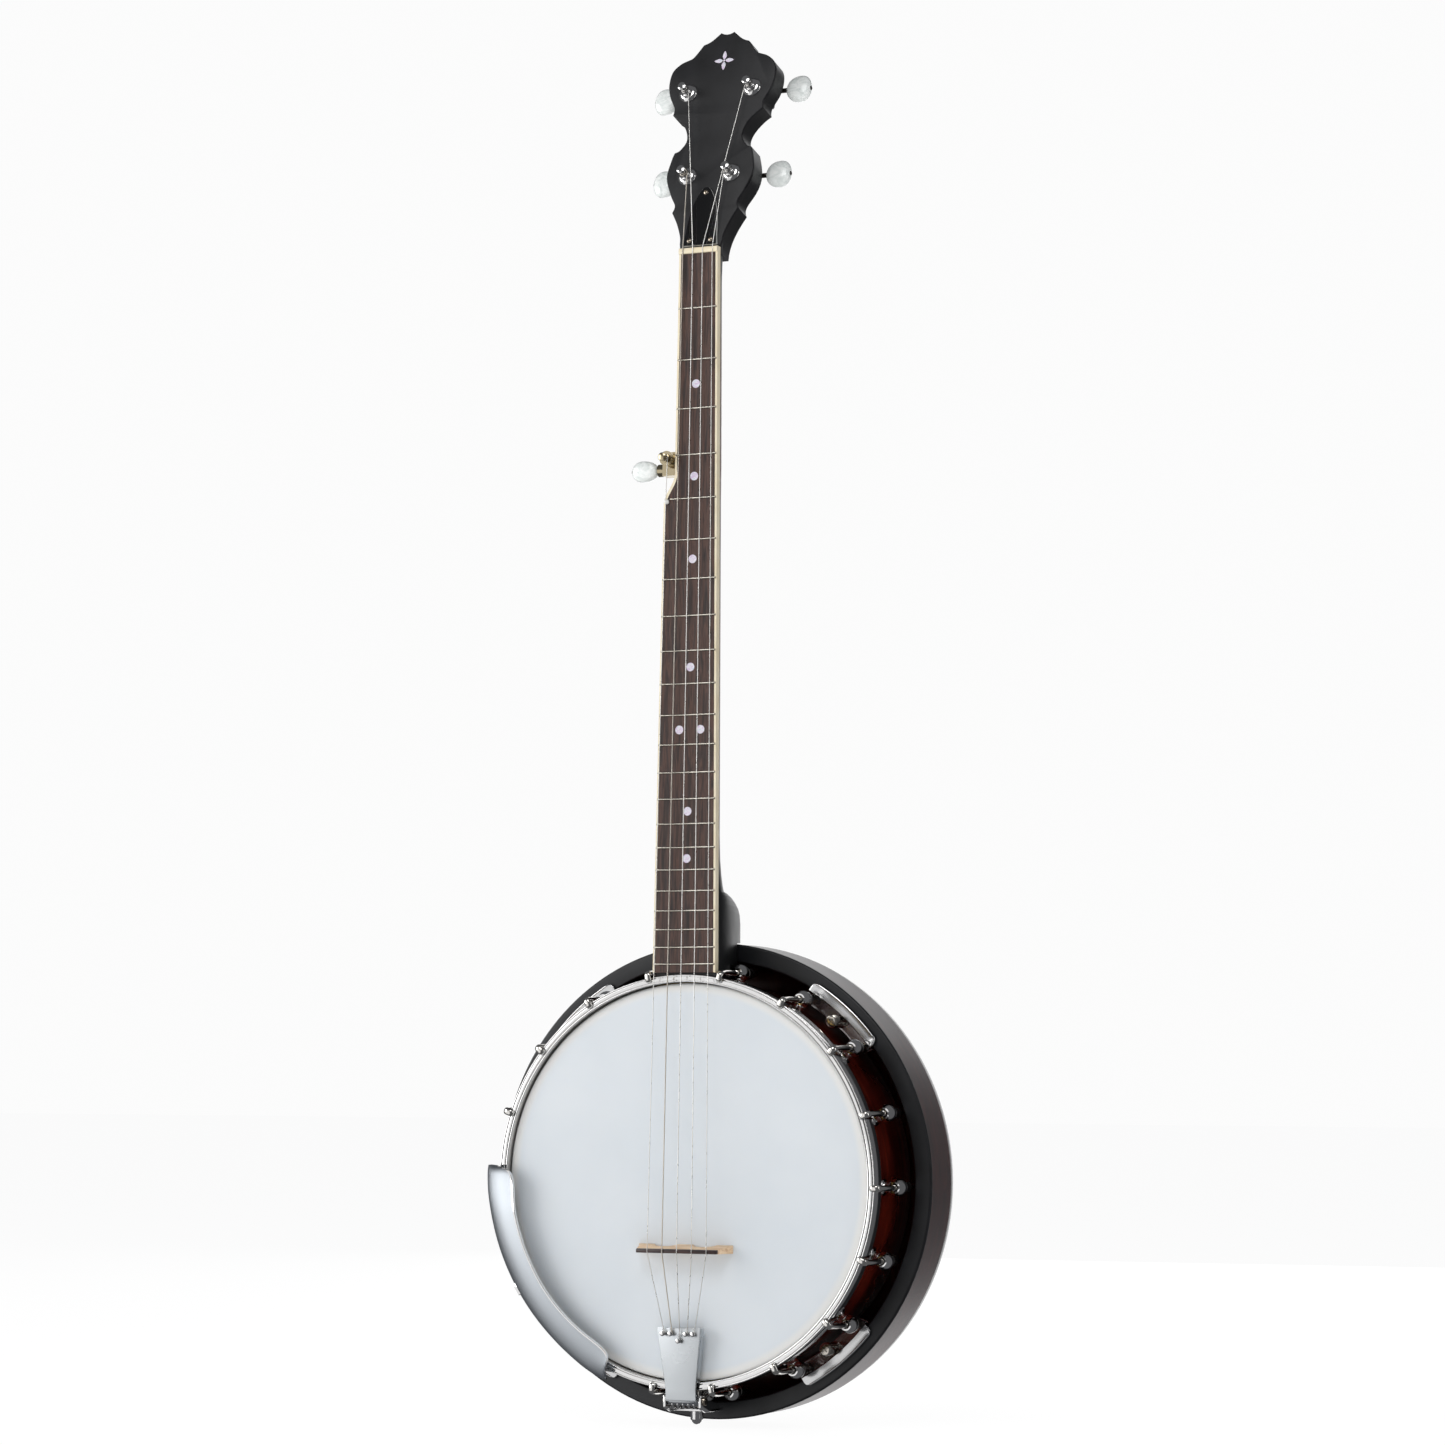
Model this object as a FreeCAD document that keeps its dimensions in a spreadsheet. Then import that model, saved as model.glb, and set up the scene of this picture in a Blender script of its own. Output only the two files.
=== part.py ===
import FreeCAD, Part
import Sketcher
import math
import os

V = FreeCAD.Vector
doc = FreeCAD.newDocument("banjo")

# ---------------------------------------------------------------- driving dimensions (mm, degrees)
# World frame: +Z runs up the neck, the drum head faces -Y, the origin is on the pot's axis at the
# flat back of the resonator.  "front" means the distance forward of that back face.
SIZES = {
    "scale_length": 686, "fret_count": 22, "bridge_drop": 45.4,
    "neck_tilt": 2, "peghead_tilt": 15.5, "board_front": 87.2,
    "head_front": 99, "head_thick": 0.6, "rim_radius": 133.5, "rim_wall": 18.5,
    "rim_back": 22, "rim_top": 92, "tone_rod": 3,
    "hoop_radius": 140.5, "hoop_inner": 135.3, "hoop_back": 90.6, "hoop_top": 103.5,
    "flesh_back": 86.2, "hook_circle": 144.3, "hook_rod": 2.1, "hook_tip": 1.3,
    "hook_first": 11, "hook_step": 20, "hook_pairs": 9, "shoe_front": 72, "shoe_ball": 6.2,
    "reso_radius": 162.7, "reso_wall": 11.2, "reso_plate": 6, "reso_edge": 22,
    "reso_front": 58, "lip_thick": 3, "plate_angle_top": 41, "plate_angle_low": 141,
    "plate_half": 11.6, "plate_metal": 1.5, "plate_floor": 50, "screw_circle": 144.2,
    "screw_shank": 2.6, "screw_head": 4.6, "running_fit": 0.08,
    "board_thick": 5, "board_length": 499.2, "nut_thick": 4.2, "nut_rise": 1.2,
    "right_half": 15, "right_taper": 0.0174, "left_half": 14.3, "low_left": 21.6,
    "left_taper": 0.0038, "binding_wide": 1.5, "fret_wide": 2, "fret_rise": 0.9,
    "neck_depth": 13, "heel_front": 59.5, "dot_radius": 3,
    "peghead_core": 14, "overlay_thick": 2, "tuner_gap": 6.5,
    "bridge_rise": 16.3, "saddle_rise": 2.6, "bridge_length": 65, "string_radius": 0.3,
    "rod_radius": 3.2, "rod_high": 80, "rod_low": 64,
    "tail_front": 104.6, "tail_metal": 1.4, "tail_lean": 4, "tail_pin_drop": 147.5, "tail_pin_front": 99.5,
}

sheet = doc.addObject("Spreadsheet::Sheet", "dims")
for row, (alias, number) in enumerate(SIZES.items(), start=1):
    sheet.set(f"A{row}", alias)
    sheet.set(f"B{row}", str(number))
    sheet.setAlias(f"B{row}", alias)
doc.recompute()


class Size(float):
    """A number that remembers the spreadsheet expression it was worked out with."""

    def __new__(cls, value, text=None):
        made = float.__new__(cls, value)
        made.text = text if text else repr(float(value))
        return made

    def _with(self, other, sign, result, swap=False):
        left, right = self.text, other.text if isinstance(other, Size) else repr(float(other))
        if swap:
            left, right = right, left
        return Size(result, f"({left} {sign} {right})")

    def __add__(self, other):
        return self._with(other, "+", float(self) + float(other))

    def __radd__(self, other):
        return self._with(other, "+", float(other) + float(self), swap=True)

    def __sub__(self, other):
        return self._with(other, "-", float(self) - float(other))

    def __rsub__(self, other):
        return self._with(other, "-", float(other) - float(self), swap=True)

    def __mul__(self, other):
        return self._with(other, "*", float(self) * float(other))

    def __rmul__(self, other):
        return self._with(other, "*", float(other) * float(self), swap=True)

    def __truediv__(self, other):
        return self._with(other, "/", float(self) / float(other))

    def __neg__(self):
        return Size(-float(self), f"(-{self.text})")


class Sheet:
    """dim.name gives the cell's value together with its expression."""

    def __getattr__(self, name):
        return Size(float(sheet.get(name)), f"dims.{name}")


dim = Sheet()
PARTS = []


def bind(thing, prop, value):
    """Sets a property, and ties it to the spreadsheet when the value came from there."""
    if isinstance(value, Size):
        thing.setExpression(prop, value.text)
    else:
        setattr(thing, prop, value)


def keep(thing, label):
    thing.Label = label
    PARTS.append(thing)
    return thing


# ---------------------------------------------------------------- frames
# Each frame's local x is world X, local y runs up the instrument and local z faces the player.
def frame(up, front, tilt):
    return FreeCAD.Placement(V(0, -front, up), FreeCAD.Rotation(V(1, 0, 0), 90 - tilt))


POT = frame(0, 0, 0)
NUT_UP = dim.scale_length - dim.bridge_drop
NECK = frame(NUT_UP, dim.board_front, dim.neck_tilt)
PEG = frame(NUT_UP + 0.4, dim.board_front - 2, dim.peghead_tilt)
UPRIGHT = FreeCAD.Rotation()
SIDEWAYS = FreeCAD.Rotation(V(0, 1, 0), 90)      # turns a piece's own z onto the frame's x
LENGTHWAYS = FreeCAD.Rotation(V(1, 0, 0), -90)   # turns a piece's own z onto the frame's y


def at(base, x, y, z, turn=UPRIGHT):
    return base.multiply(FreeCAD.Placement(V(x, y, z), turn))


def around(angle, radius, front, turn=UPRIGHT):
    """A place on a circle about the pot's axis, counted clockwise from the neck."""
    spin = FreeCAD.Placement(V(0, 0, 0), FreeCAD.Rotation(V(0, 0, 1), -angle))
    return POT.multiply(spin).multiply(FreeCAD.Placement(V(0, radius, front), turn))


# ---------------------------------------------------------------- ways of making a piece
def sketch_on(body, plane, name):
    flat = next(f for f in body.Origin.OriginFeatures if f.Role == plane)
    made = body.newObject("Sketcher::SketchObject", name)
    made.AttachmentSupport = [(flat, "")]
    made.MapMode = "FlatFace"
    return made


def tie(made, kind, geometry, end, value):
    """Holds one coordinate of a line's end at a distance from the sketch's origin."""
    number = made.addConstraint(Sketcher.Constraint(kind, -1, 1, geometry, end, float(value)))
    if isinstance(value, Size):
        made.setExpression(f"Constraints[{number}]", value.text)


def closed_outline(made, points):
    """A closed outline of straight lines, every corner held at its two coordinates."""
    count = len(points)
    for n in range(count):
        a, b = points[n], points[(n + 1) % count]
        made.addGeometry(Part.LineSegment(V(a[0], a[1], 0), V(b[0], b[1], 0)), False)
    for n in range(count):
        made.addConstraint(Sketcher.Constraint("Coincident", n, 2, (n + 1) % count, 1))
        tie(made, "DistanceX", n, 1, points[n][0])
        tie(made, "DistanceY", n, 1, points[n][1])


def turned(label, place, points):
    """A lathe-turned piece: the half section (radius, height) turned about the height axis."""
    body = doc.addObject("PartDesign::Body", label)
    made = sketch_on(body, "XZ_Plane", label + "_section")
    closed_outline(made, points)
    spun = body.newObject("PartDesign::Revolution", label + "_turning")
    spun.Profile = made
    spun.ReferenceAxis = (made, ["V_Axis"])
    spun.Angle = 360
    body.Placement = place
    return body


def rod(label, place, radius, length):
    made = doc.addObject("Part::Cylinder", label)
    bind(made, "Radius", radius)
    bind(made, "Height", length)
    made.Placement = place
    return made


def ball(label, place, radius):
    made = doc.addObject("Part::Sphere", label)
    bind(made, "Radius", radius)
    made.Placement = place
    return made


def block(label, place, wide, high, deep):
    """A box centred on its place in x and y, standing on it in z."""
    made = doc.addObject("Part::Box", label)
    bind(made, "Length", wide)
    bind(made, "Width", high)
    bind(made, "Height", deep)
    made.Placement = place.multiply(FreeCAD.Placement(V(-wide / 2, -high / 2, 0), UPRIGHT))
    return made


def joined(label, pieces):
    made = doc.addObject("Part::MultiFuse", label)
    made.Shapes = pieces
    made.Refine = True
    return made


def cut(label, base, tools):
    made = doc.addObject("Part::Cut", label)
    made.Base = base
    made.Tool = tools[0] if len(tools) == 1 else joined(label + "_tools", tools)
    made.Refine = True
    return made


def group(label, pieces):
    """Separate identical solids that share one node."""
    made = doc.addObject("Part::Compound", label)
    made.Links = pieces
    return made


def shaped(label, shape):
    made = doc.addObject("Part::Feature", label)
    made.Shape = shape
    return made


def copies(label, master, places):
    """One solid, made once about its own origin, set down at each of the places."""
    solids = []
    for place in places:
        solid = master.Shape.copy()
        solid.Placement = place.multiply(master.Placement)
        solids.append(solid)
    return shaped(label, Part.makeCompound(solids))


def in_frame(solid, base, x=0, y=0, z=0, turn=UPRIGHT):
    """A shape worked out about a frame's origin, carried to its place in that frame."""
    made = solid.copy()
    made.Placement = at(base, x, y, z, turn).multiply(solid.Placement)
    return made


# ---------------------------------------------------------------- resonator
# A shallow bowl: a flat pressed back with a rounded edge, a bent side wall and a lip round its mouth.
reso_inner = dim.reso_radius - dim.reso_wall


def arc_points(centre_r, centre_h, radius, start, stop, steps):
    """Corners of an eased edge, evenly stepped round a quarter turn."""
    made = []
    for n in range(steps + 1):
        turn = math.radians(start + (stop - start) * n / steps)
        made.append((centre_r + radius * math.cos(turn), centre_h + radius * math.sin(turn)))
    return made


edge = dim.reso_edge
inner_edge = edge - dim.reso_plate
back_section = [(0, 0)]
back_section += arc_points(dim.reso_radius - edge, edge, edge, -90, 0, 6)
back_section += [(reso_inner, edge)]
back_section += arc_points(reso_inner - inner_edge, edge, inner_edge, 0, -90, 5)[1:]
back_section += [(0, dim.reso_plate)]
keep(turned("resonator_back", POT, back_section), "resonator_back")

wall_top = dim.reso_front - dim.lip_thick
keep(turned("resonator_sidewall", POT, [(reso_inner, edge), (dim.reso_radius, edge),
                                        (dim.reso_radius, wall_top), (reso_inner, wall_top)]),
     "resonator_sidewall")
keep(turned("resonator_lip", POT, [(reso_inner - 0.6, wall_top), (dim.reso_radius + 0.4, wall_top),
                                   (dim.reso_radius + 0.4, dim.reso_front - 1),
                                   (dim.reso_radius - 0.6, dim.reso_front),
                                   (reso_inner + 0.4, dim.reso_front),
                                   (reso_inner - 0.6, dim.reso_front - 1)]),
     "resonator_lip")

PLATE_ANGLES = [dim.plate_angle_top, dim.plate_angle_low, -dim.plate_angle_low, -dim.plate_angle_top]
lug_back = 34
lug_front = dim.plate_floor - 0.5
lug_shape = cut("lug_shape",
                block("lug_block", at(POT, 0, 144.9, lug_back), 16, 12.5, lug_front - lug_back),
                [rod("lug_bore", at(POT, 0, dim.screw_circle, lug_back - 1),
                     dim.screw_shank + dim.running_fit, lug_front - lug_back + 2)])
doc.recompute()


def about_pot(angle):
    """Turns a piece that was made at the neck's place round to the given angle."""
    spin = FreeCAD.Rotation(V(0, 1, 0), angle)
    return FreeCAD.Placement(V(0, 0, 0), spin)


keep(copies("resonator_lugs", lug_shape, [about_pot(a) for a in PLATE_ANGLES]), "resonator_lugs")

# ---------------------------------------------------------------- wooden rim and its tone ring
rim_inner = dim.rim_radius - dim.rim_wall
rim_ring = turned("rim_ring", POT, [(rim_inner, dim.rim_back), (dim.rim_radius, dim.rim_back),
                                    (dim.rim_radius, dim.rim_top), (rim_inner, dim.rim_top)])
HOOK_ANGLES = [side * (dim.hook_first + dim.hook_step * n)
               for side in (1, -1) for n in range(int(dim.hook_pairs))]
shoe_bolt = 2.0
rim_bores = [rod(f"shoe_bore_{n}", around(a, 0, dim.shoe_front, LENGTHWAYS).multiply(
    FreeCAD.Placement(V(0, 0, rim_inner - 4), UPRIGHT)), shoe_bolt + 0.05, 30)
    for n, a in enumerate(HOOK_ANGLES)]
rod_bores = [rod(f"rod_bore_{n}", at(POT, 0, -150, height, LENGTHWAYS), dim.rod_radius + 0.05, 320)
             for n, height in enumerate((dim.rod_high, dim.rod_low))]
keep(cut("rim", rim_ring, rim_bores + rod_bores), "rim")
ring_middle = dim.rim_radius - dim.tone_rod
tone_height = dim.rim_top + dim.tone_rod
tone = doc.addObject("Part::Torus", "tone_ring")
bind(tone, "Radius1", ring_middle)
bind(tone, "Radius2", dim.tone_rod)
tone.Placement = at(POT, 0, 0, tone_height)
keep(tone, "tone_ring")

# ---------------------------------------------------------------- head, flesh hoop, tension hoop
skirt = dim.rim_radius + 0.5
head_back = dim.head_front - dim.head_thick
keep(turned("drum_head", POT, [(0, head_back), (skirt - 0.9, head_back), (skirt, head_back - 1.2),
                               (skirt, dim.flesh_back), (skirt + 0.6, dim.flesh_back),
                               (skirt + 0.6, head_back - 0.9), (skirt - 0.6, dim.head_front),
                               (0, dim.head_front)]), "drum_head")
flesh_inner = skirt + 0.65
keep(turned("flesh_hoop", POT, [(flesh_inner, dim.flesh_back), (flesh_inner + 3.6, dim.flesh_back),
                                (flesh_inner + 3.6, dim.hoop_back), (flesh_inner, dim.hoop_back)]),
     "flesh_hoop")
groove_deep = 2.5
groove_in = dim.hoop_inner + 1.2
groove_out = groove_in + 2 * dim.hook_tip + 0.5
keep(turned("tension_hoop", POT, [(dim.hoop_inner, dim.hoop_back), (dim.hoop_radius, dim.hoop_back),
                                  (dim.hoop_radius, dim.hoop_top - 0.6),
                                  (dim.hoop_radius - 0.6, dim.hoop_top),
                                  (groove_out, dim.hoop_top),
                                  (groove_out, dim.hoop_top - groove_deep),
                                  (groove_in, dim.hoop_top - groove_deep),
                                  (groove_in, dim.hoop_top), (dim.hoop_inner, dim.hoop_top)]),
     "tension_hoop")

# ---------------------------------------------------------------- hooks, nuts and round shoes
hook_foot = 47
hook_shoulder = dim.hoop_top - 3.4
tip_circle = (groove_in + groove_out) / 2
over = dim.hoop_top + 2.0
bend = 2.2
hook_path = Part.Wire([
    Part.makeLine(V(0, dim.hook_circle, hook_shoulder - 1), V(0, dim.hook_circle, over - bend)),
    Part.Arc(V(0, dim.hook_circle, over - bend),
             V(0, dim.hook_circle - bend * (1 - math.sqrt(0.5)), over - bend * (1 - math.sqrt(0.5))),
             V(0, dim.hook_circle - bend, over)).toShape(),
    Part.makeLine(V(0, dim.hook_circle - bend, over), V(0, tip_circle + bend, over)),
    Part.Arc(V(0, tip_circle + bend, over),
             V(0, tip_circle + bend * (1 - math.sqrt(0.5)), over - bend * (1 - math.sqrt(0.5))),
             V(0, tip_circle, over - bend)).toShape(),
    Part.makeLine(V(0, tip_circle, over - bend), V(0, tip_circle, dim.hoop_top - groove_deep + 0.2))])
hook_end = Part.Wire([Part.makeCircle(dim.hook_tip, V(0, dim.hook_circle, hook_shoulder - 1))])
hook_bend = shaped("hook_bend", hook_path.makePipeShell([hook_end], True, False))
hook_bend.Placement = POT
hook_taper = doc.addObject("Part::Cone", "hook_taper")
bind(hook_taper, "Radius1", dim.hook_rod)
bind(hook_taper, "Radius2", dim.hook_tip)
hook_taper.Height = 2.5
hook_taper.Placement = at(POT, 0, dim.hook_circle, hook_shoulder - 2.5)
hook_shape = joined("hook_shape", [
    rod("hook_shank", at(POT, 0, dim.hook_circle, hook_foot), dim.hook_rod,
        hook_shoulder - 2.5 - hook_foot), hook_taper, hook_bend])
shoe_shape = cut("shoe_shape", joined("shoe_solid", [
    ball("shoe_round", at(POT, 0, dim.hook_circle, dim.shoe_front), dim.shoe_ball),
    rod("shoe_neck", at(POT, 0, dim.rim_radius + 1.5, dim.shoe_front, LENGTHWAYS), 4.2, 9),
    rod("shoe_foot", at(POT, 0, dim.rim_radius + 0.1, dim.shoe_front, LENGTHWAYS), 5.6, 1.6)]), [
    rod("shoe_eye", at(POT, 0, dim.hook_circle, dim.shoe_front - 10), dim.hook_rod + 0.2, 20),
    rod("shoe_thread", at(POT, 0, dim.rim_radius - 1, dim.shoe_front, LENGTHWAYS), shoe_bolt, 5)])
nut_face = dim.shoe_front - dim.shoe_ball - 0.2
nut_long = 11
nut_shape = cut("nut_shape", joined("nut_solid", [
    block("nut_square", at(POT, 0, dim.hook_circle, nut_face - nut_long), 6.4, 6.4, nut_long - 1.5),
    rod("nut_washer", at(POT, 0, dim.hook_circle, nut_face - 1.5), 4.3, 1.5)]), [
    rod("nut_thread", at(POT, 0, dim.hook_circle, nut_face - nut_long - 1), dim.hook_rod, nut_long + 2)])
bolt_head = doc.addObject("Part::Cone", "bolt_head")
bolt_head.Radius1 = 3
bolt_head.Radius2 = 4.2
bolt_head.Height = 2.4
bolt_head.Placement = at(POT, 0, rim_inner - 0.1, dim.shoe_front, FreeCAD.Rotation(V(1, 0, 0), 90))
bolt_shape = joined("bolt_shape", [
    bolt_head, rod("bolt_shank", at(POT, 0, rim_inner - 1, dim.shoe_front, LENGTHWAYS), shoe_bolt,
                   dim.rim_wall + 4.8)])
doc.recompute()
RING = [about_pot(a) for a in HOOK_ANGLES]
keep(copies("bracket_hooks", hook_shape, RING), "bracket_hooks")
keep(copies("hook_nuts", nut_shape, RING), "hook_nuts")
keep(copies("bracket_shoes", shoe_shape, RING), "bracket_shoes")
keep(copies("shoe_screws", bolt_shape, RING), "shoe_screws")

# ---------------------------------------------------------------- flange plates and thumb screws
# Each pressed plate lies on the lip, steps down inside it and is held under two hook nuts.
metal = dim.plate_metal
floor = dim.plate_floor
on_lip = dim.reso_front + 0.2
step_in = reso_inner - 0.9
plate_ring = [(139.2, floor), (step_in, floor), (step_in, on_lip), (157, on_lip),
              (157, on_lip + metal), (step_in - metal, on_lip + metal),
              (step_in - metal, floor + metal), (139.2, floor + metal)]


def sector(label, angle, half, section):
    """Part of a turned ring, cut to the arc that one plate spans."""
    body = doc.addObject("PartDesign::Body", label)
    made = sketch_on(body, "XZ_Plane", label + "_section")
    closed_outline(made, section)
    spun = body.newObject("PartDesign::Revolution", label + "_sweep")
    spun.Profile = made
    spun.ReferenceAxis = (made, ["V_Axis"])
    bind(spun, "Angle", 2 * half)
    spin = FreeCAD.Rotation(V(0, 0, 1), 90 - angle - half)
    body.Placement = POT.multiply(FreeCAD.Placement(V(0, 0, 0), spin))
    return body


plate_shape = cut("plate_shape", sector("plate_sector", 0, dim.plate_half, plate_ring), [
    rod("plate_bore", at(POT, 0, dim.screw_circle, floor - 1), dim.screw_shank + 0.2, 4),
    rod("plate_eye_right", around(10, dim.hook_circle, floor - 1), dim.hook_rod + 0.3, 4),
    rod("plate_eye_left", around(-10, dim.hook_circle, floor - 1), dim.hook_rod + 0.3, 4)])
doc.recompute()
keep(copies("flange_plates", plate_shape, [about_pot(a) for a in PLATE_ANGLES]), "flange_plates")

screw_seat = floor + metal + 0.1
screw_rise = 19
for number, angle in enumerate(PLATE_ANGLES, start=1):
    thumb = turned(f"thumb_screw_{number}", around(angle, dim.screw_circle, 0), [
        (0, lug_back + 1), (dim.screw_shank, lug_back + 1), (dim.screw_shank, screw_seat),
        (dim.screw_head, screw_seat), (dim.screw_head, screw_seat + 5),
        (dim.screw_head - 1.4, screw_seat + 6), (dim.screw_head - 1.4, screw_seat + screw_rise - 7),
        (dim.screw_head, screw_seat + screw_rise - 6), (dim.screw_head, screw_seat + screw_rise - 1),
        (dim.screw_head - 0.8, screw_seat + screw_rise), (0, screw_seat + screw_rise)])
    keep(thumb, f"thumb_screw_{number}")

# ---------------------------------------------------------------- neck, heel and peghead core
def right_edge(along):
    return dim.right_half + dim.right_taper * along


def left_edge(along):
    return -(dim.low_left + dim.left_taper * along)


STEP_TOP = 150
STEP_END = 174
board_end = dim.board_length
step_left = left_edge(STEP_END)


def board_outline(inset, end):
    """The fingerboard seen from the front, with the step where the fifth string joins."""
    s = STEP_TOP + inset
    e = STEP_END + inset
    left, wide = -dim.left_half + inset, step_left + inset
    step = Part.BSplineCurve()
    step.interpolate([V(left, -s, 0), V(left - 0.9, -s - 9, 0), V(wide + 2.2, -e + 6, 0), V(wide, -e, 0)])
    corners = [V(wide, -e, 0), V(left_edge(end) + inset, -end, 0), V(right_edge(end) - inset, -end, 0),
               V(dim.right_half - inset, 0, 0), V(left, 0, 0), V(left, -s, 0)]
    sides = [Part.makeLine(a, b) for a, b in zip(corners, corners[1:])]
    return Part.Wire([step.toShape()] + sides)


def board_layer(outline, low, high):
    return Part.Face(outline).extrude(V(0, 0, high - low)).translated(V(0, 0, low))


def neck_section(along, left, right, depth, rise=0):
    """The rounded D of the neck's back, square to the neck at a distance from the nut."""
    top = -dim.board_thick + rise
    low = -dim.board_thick - depth
    middle = (left + right) / 2
    half = (right - left) / 2
    back = Part.BSplineCurve()
    back.interpolate([V(right, -along, top), V(middle + 0.86 * half, -along, top + 0.5 * (low - top)),
                      V(middle, -along, low), V(middle - 0.86 * half, -along, top + 0.5 * (low - top)),
                      V(left, -along, top)])
    return Part.Wire([Part.makeLine(V(left, -along, top), V(right, -along, top)), back.toShape()])


slim = dim.neck_depth
stations = [(-6, -dim.left_half, dim.right_half - 0.1, slim), (20, -dim.left_half, right_edge(20), slim),
            (STEP_TOP, -dim.left_half, right_edge(STEP_TOP), slim + 0.8),
            (STEP_TOP + 12, -dim.left_half - 2.6, right_edge(STEP_TOP + 12), slim + 1),
            (STEP_END, step_left, right_edge(STEP_END), slim + 1.5),
            (405, left_edge(405), right_edge(405), slim + 1.8)]
shaft = Part.makeLoft([neck_section(*s) for s in stations], True, True)
# The heel: the shaft deepens towards it, then it drops back at once and runs down over the
# resonator's edge.  Each pair is a distance from the nut and the wood's depth there.
HEEL_DEPTHS = [(405, slim + 1.8), (422, 17.5), (433, 22.5), (440, 27.5), (443, 31), (444.2, 44), (446, 55),
               (448.6, 63), (452, 69.5), (456, 73), (462, 74.5), (515, 75)]
heel = Part.makeLoft([neck_section(along, left_edge(min(along, board_end)),
                                   right_edge(min(along, board_end)), depth)
                      for along, depth in HEEL_DEPTHS], True, True)
neck_wood = in_frame(shaft.fuse(heel), NECK)

PEG_HALF_LOW = [V(15.4, 0, 0), V(16.8, 14, 0), V(20.5, 24, 0), V(25.3, 33, 0)]
PEG_HALF = [
    PEG_HALF_LOW,
    [V(25.3, 33, 0), V(24.0, 38.5, 0), V(28.3, 47, 0), V(33.2, 61, 0), V(31.2, 74.5, 0), V(29.5, 80, 0)],
    [V(29.5, 80, 0), V(25.4, 82, 0), V(21.2, 89.5, 0), V(24.7, 100.3, 0), V(34.8, 110, 0)],
    [V(34.8, 110, 0), V(34.4, 115.5, 0), V(38.7, 124.5, 0), V(41, 134, 0), V(39.6, 144.5, 0),
     V(34, 150.4, 0), V(28, 153, 0)],
    [V(28, 153, 0), V(24, 155.2, 0), V(17.6, 164, 0)],
    [V(17.6, 164, 0), V(12, 166.4, 0), V(5, 172.4, 0)],
    [V(5, 172.4, 0), V(2.5, 171.2, 0), V(0, 170.8, 0)]]


def peghead_outline():
    """The scrolled outline, one smooth run between each pair of corners, mirrored left to right."""
    runs = []
    for run in PEG_HALF:
        curve = Part.BSplineCurve()
        curve.interpolate(run)
        runs.append(curve.toShape())
    mirrored = [r.mirror(V(0, 0, 0), V(1, 0, 0)) for r in runs]
    foot = Part.makeLine(V(-PEG_HALF_LOW[0].x, 0, 0), PEG_HALF_LOW[0])
    return Part.Wire(Part.__sortEdges__(runs + mirrored + [foot]))


def peghead_layer(low, high):
    layer = Part.Face(peghead_outline()).extrude(V(0, 0, high - low))
    return in_frame(layer, PEG, z=low)


overlay = dim.overlay_thick
core_back = -overlay - dim.peghead_core
core = peghead_layer(core_back, -overlay)
volute = Part.makeLoft([neck_section(*s) for s in (
    (STEP_TOP - 130, -dim.left_half, right_edge(20), slim), (0, -15.2, 15.2, slim + 2.5),
    (-14, -16, 16, slim + 7))], True, True)
volute = in_frame(volute, NECK)
under_face = Part.makeBox(120, 200, 60, V(-60, -5, -overlay))
under_face.Placement = PEG.multiply(under_face.Placement)
neck_wood = neck_wood.fuse([core, volute]).removeSplitter()
board_room = Part.makeBox(120, 700, 60, V(-60, -700 + dim.nut_thick, -dim.board_thick))
board_room.Placement = NECK.multiply(board_room.Placement)
neck_wood = neck_wood.cut([board_room, under_face])

rim_room = Part.makeCylinder(dim.rim_radius + 0.05, 120, V(0, 0, 0))
hoop_room = Part.makeCylinder(dim.hoop_radius + 0.4, 60, V(0, 0, dim.flesh_back - 1))
resonator_room = Part.makeCylinder(dim.reso_radius + 1, dim.heel_front + 20, V(0, 0, -20))
pot_rooms = [rim_room, hoop_room, resonator_room]
for room in pot_rooms:
    room.Placement = POT.multiply(room.Placement)
for side in (1, -1):
    shoe_rooms = [Part.makeCylinder(dim.shoe_ball + 0.8, 34, V(0, dim.hook_circle, 48)),
                  Part.makeCylinder(dim.shoe_ball + 0.2, 14, V(0, dim.rim_radius, dim.shoe_front),
                                    V(0, 1, 0))]
    for room in shoe_rooms:
        room.Placement = around(side * dim.hook_first, 0, 0)
    pot_rooms.extend(shoe_rooms)
neck_wood = neck_wood.cut(pot_rooms)
tuner_x = [24.7, 16.9]
tuner_y = [126.3, 60.5]
POSTS = [(-tuner_x[1], tuner_y[1]), (-tuner_x[0], tuner_y[0]), (tuner_x[0], tuner_y[0]),
         (tuner_x[1], tuner_y[1])]
post_bore = 3.2
truss_top, truss_length, truss_radius, truss_depth = 12, 400, 2.5, -10.8
PIP_ALONG = 172.5
PEG5_X, PEG5_Y, PEG5_DEPTH = -20.5, -143.4, -10
WORM_DROP = dim.tuner_gap
neck_cuts = [Part.makeCylinder(truss_radius, truss_length, V(0, truss_top - truss_length, truss_depth),
                               V(0, 1, 0)),
             Part.makeBox(8, 20, 14, V(-4, 4.2, -14)),
             Part.makeBox(16.5, 17.5, 12.5, V(-27, PEG5_Y - 11.6, PEG5_DEPTH - 5.2)),
             Part.makeCylinder(4.3, 12, V(PEG5_X, PEG5_Y, PEG5_DEPTH), V(0, 0, 1))]
for cutter in neck_cuts:
    cutter.Placement = NECK.multiply(cutter.Placement)
for x, y in POSTS:
    bore = Part.makeCylinder(5.0, 30, V(x, y, -25))
    bore.Placement = PEG
    neck_cuts.append(bore)
for height in (dim.rod_high, dim.rod_low):
    lag = Part.makeCylinder(dim.rod_radius, 60, V(0, 120, height), V(0, 1, 0))
    lag.Placement = POT
    neck_cuts.append(lag)
keep(shaped("neck", neck_wood.cut(neck_cuts)), "neck")

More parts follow.
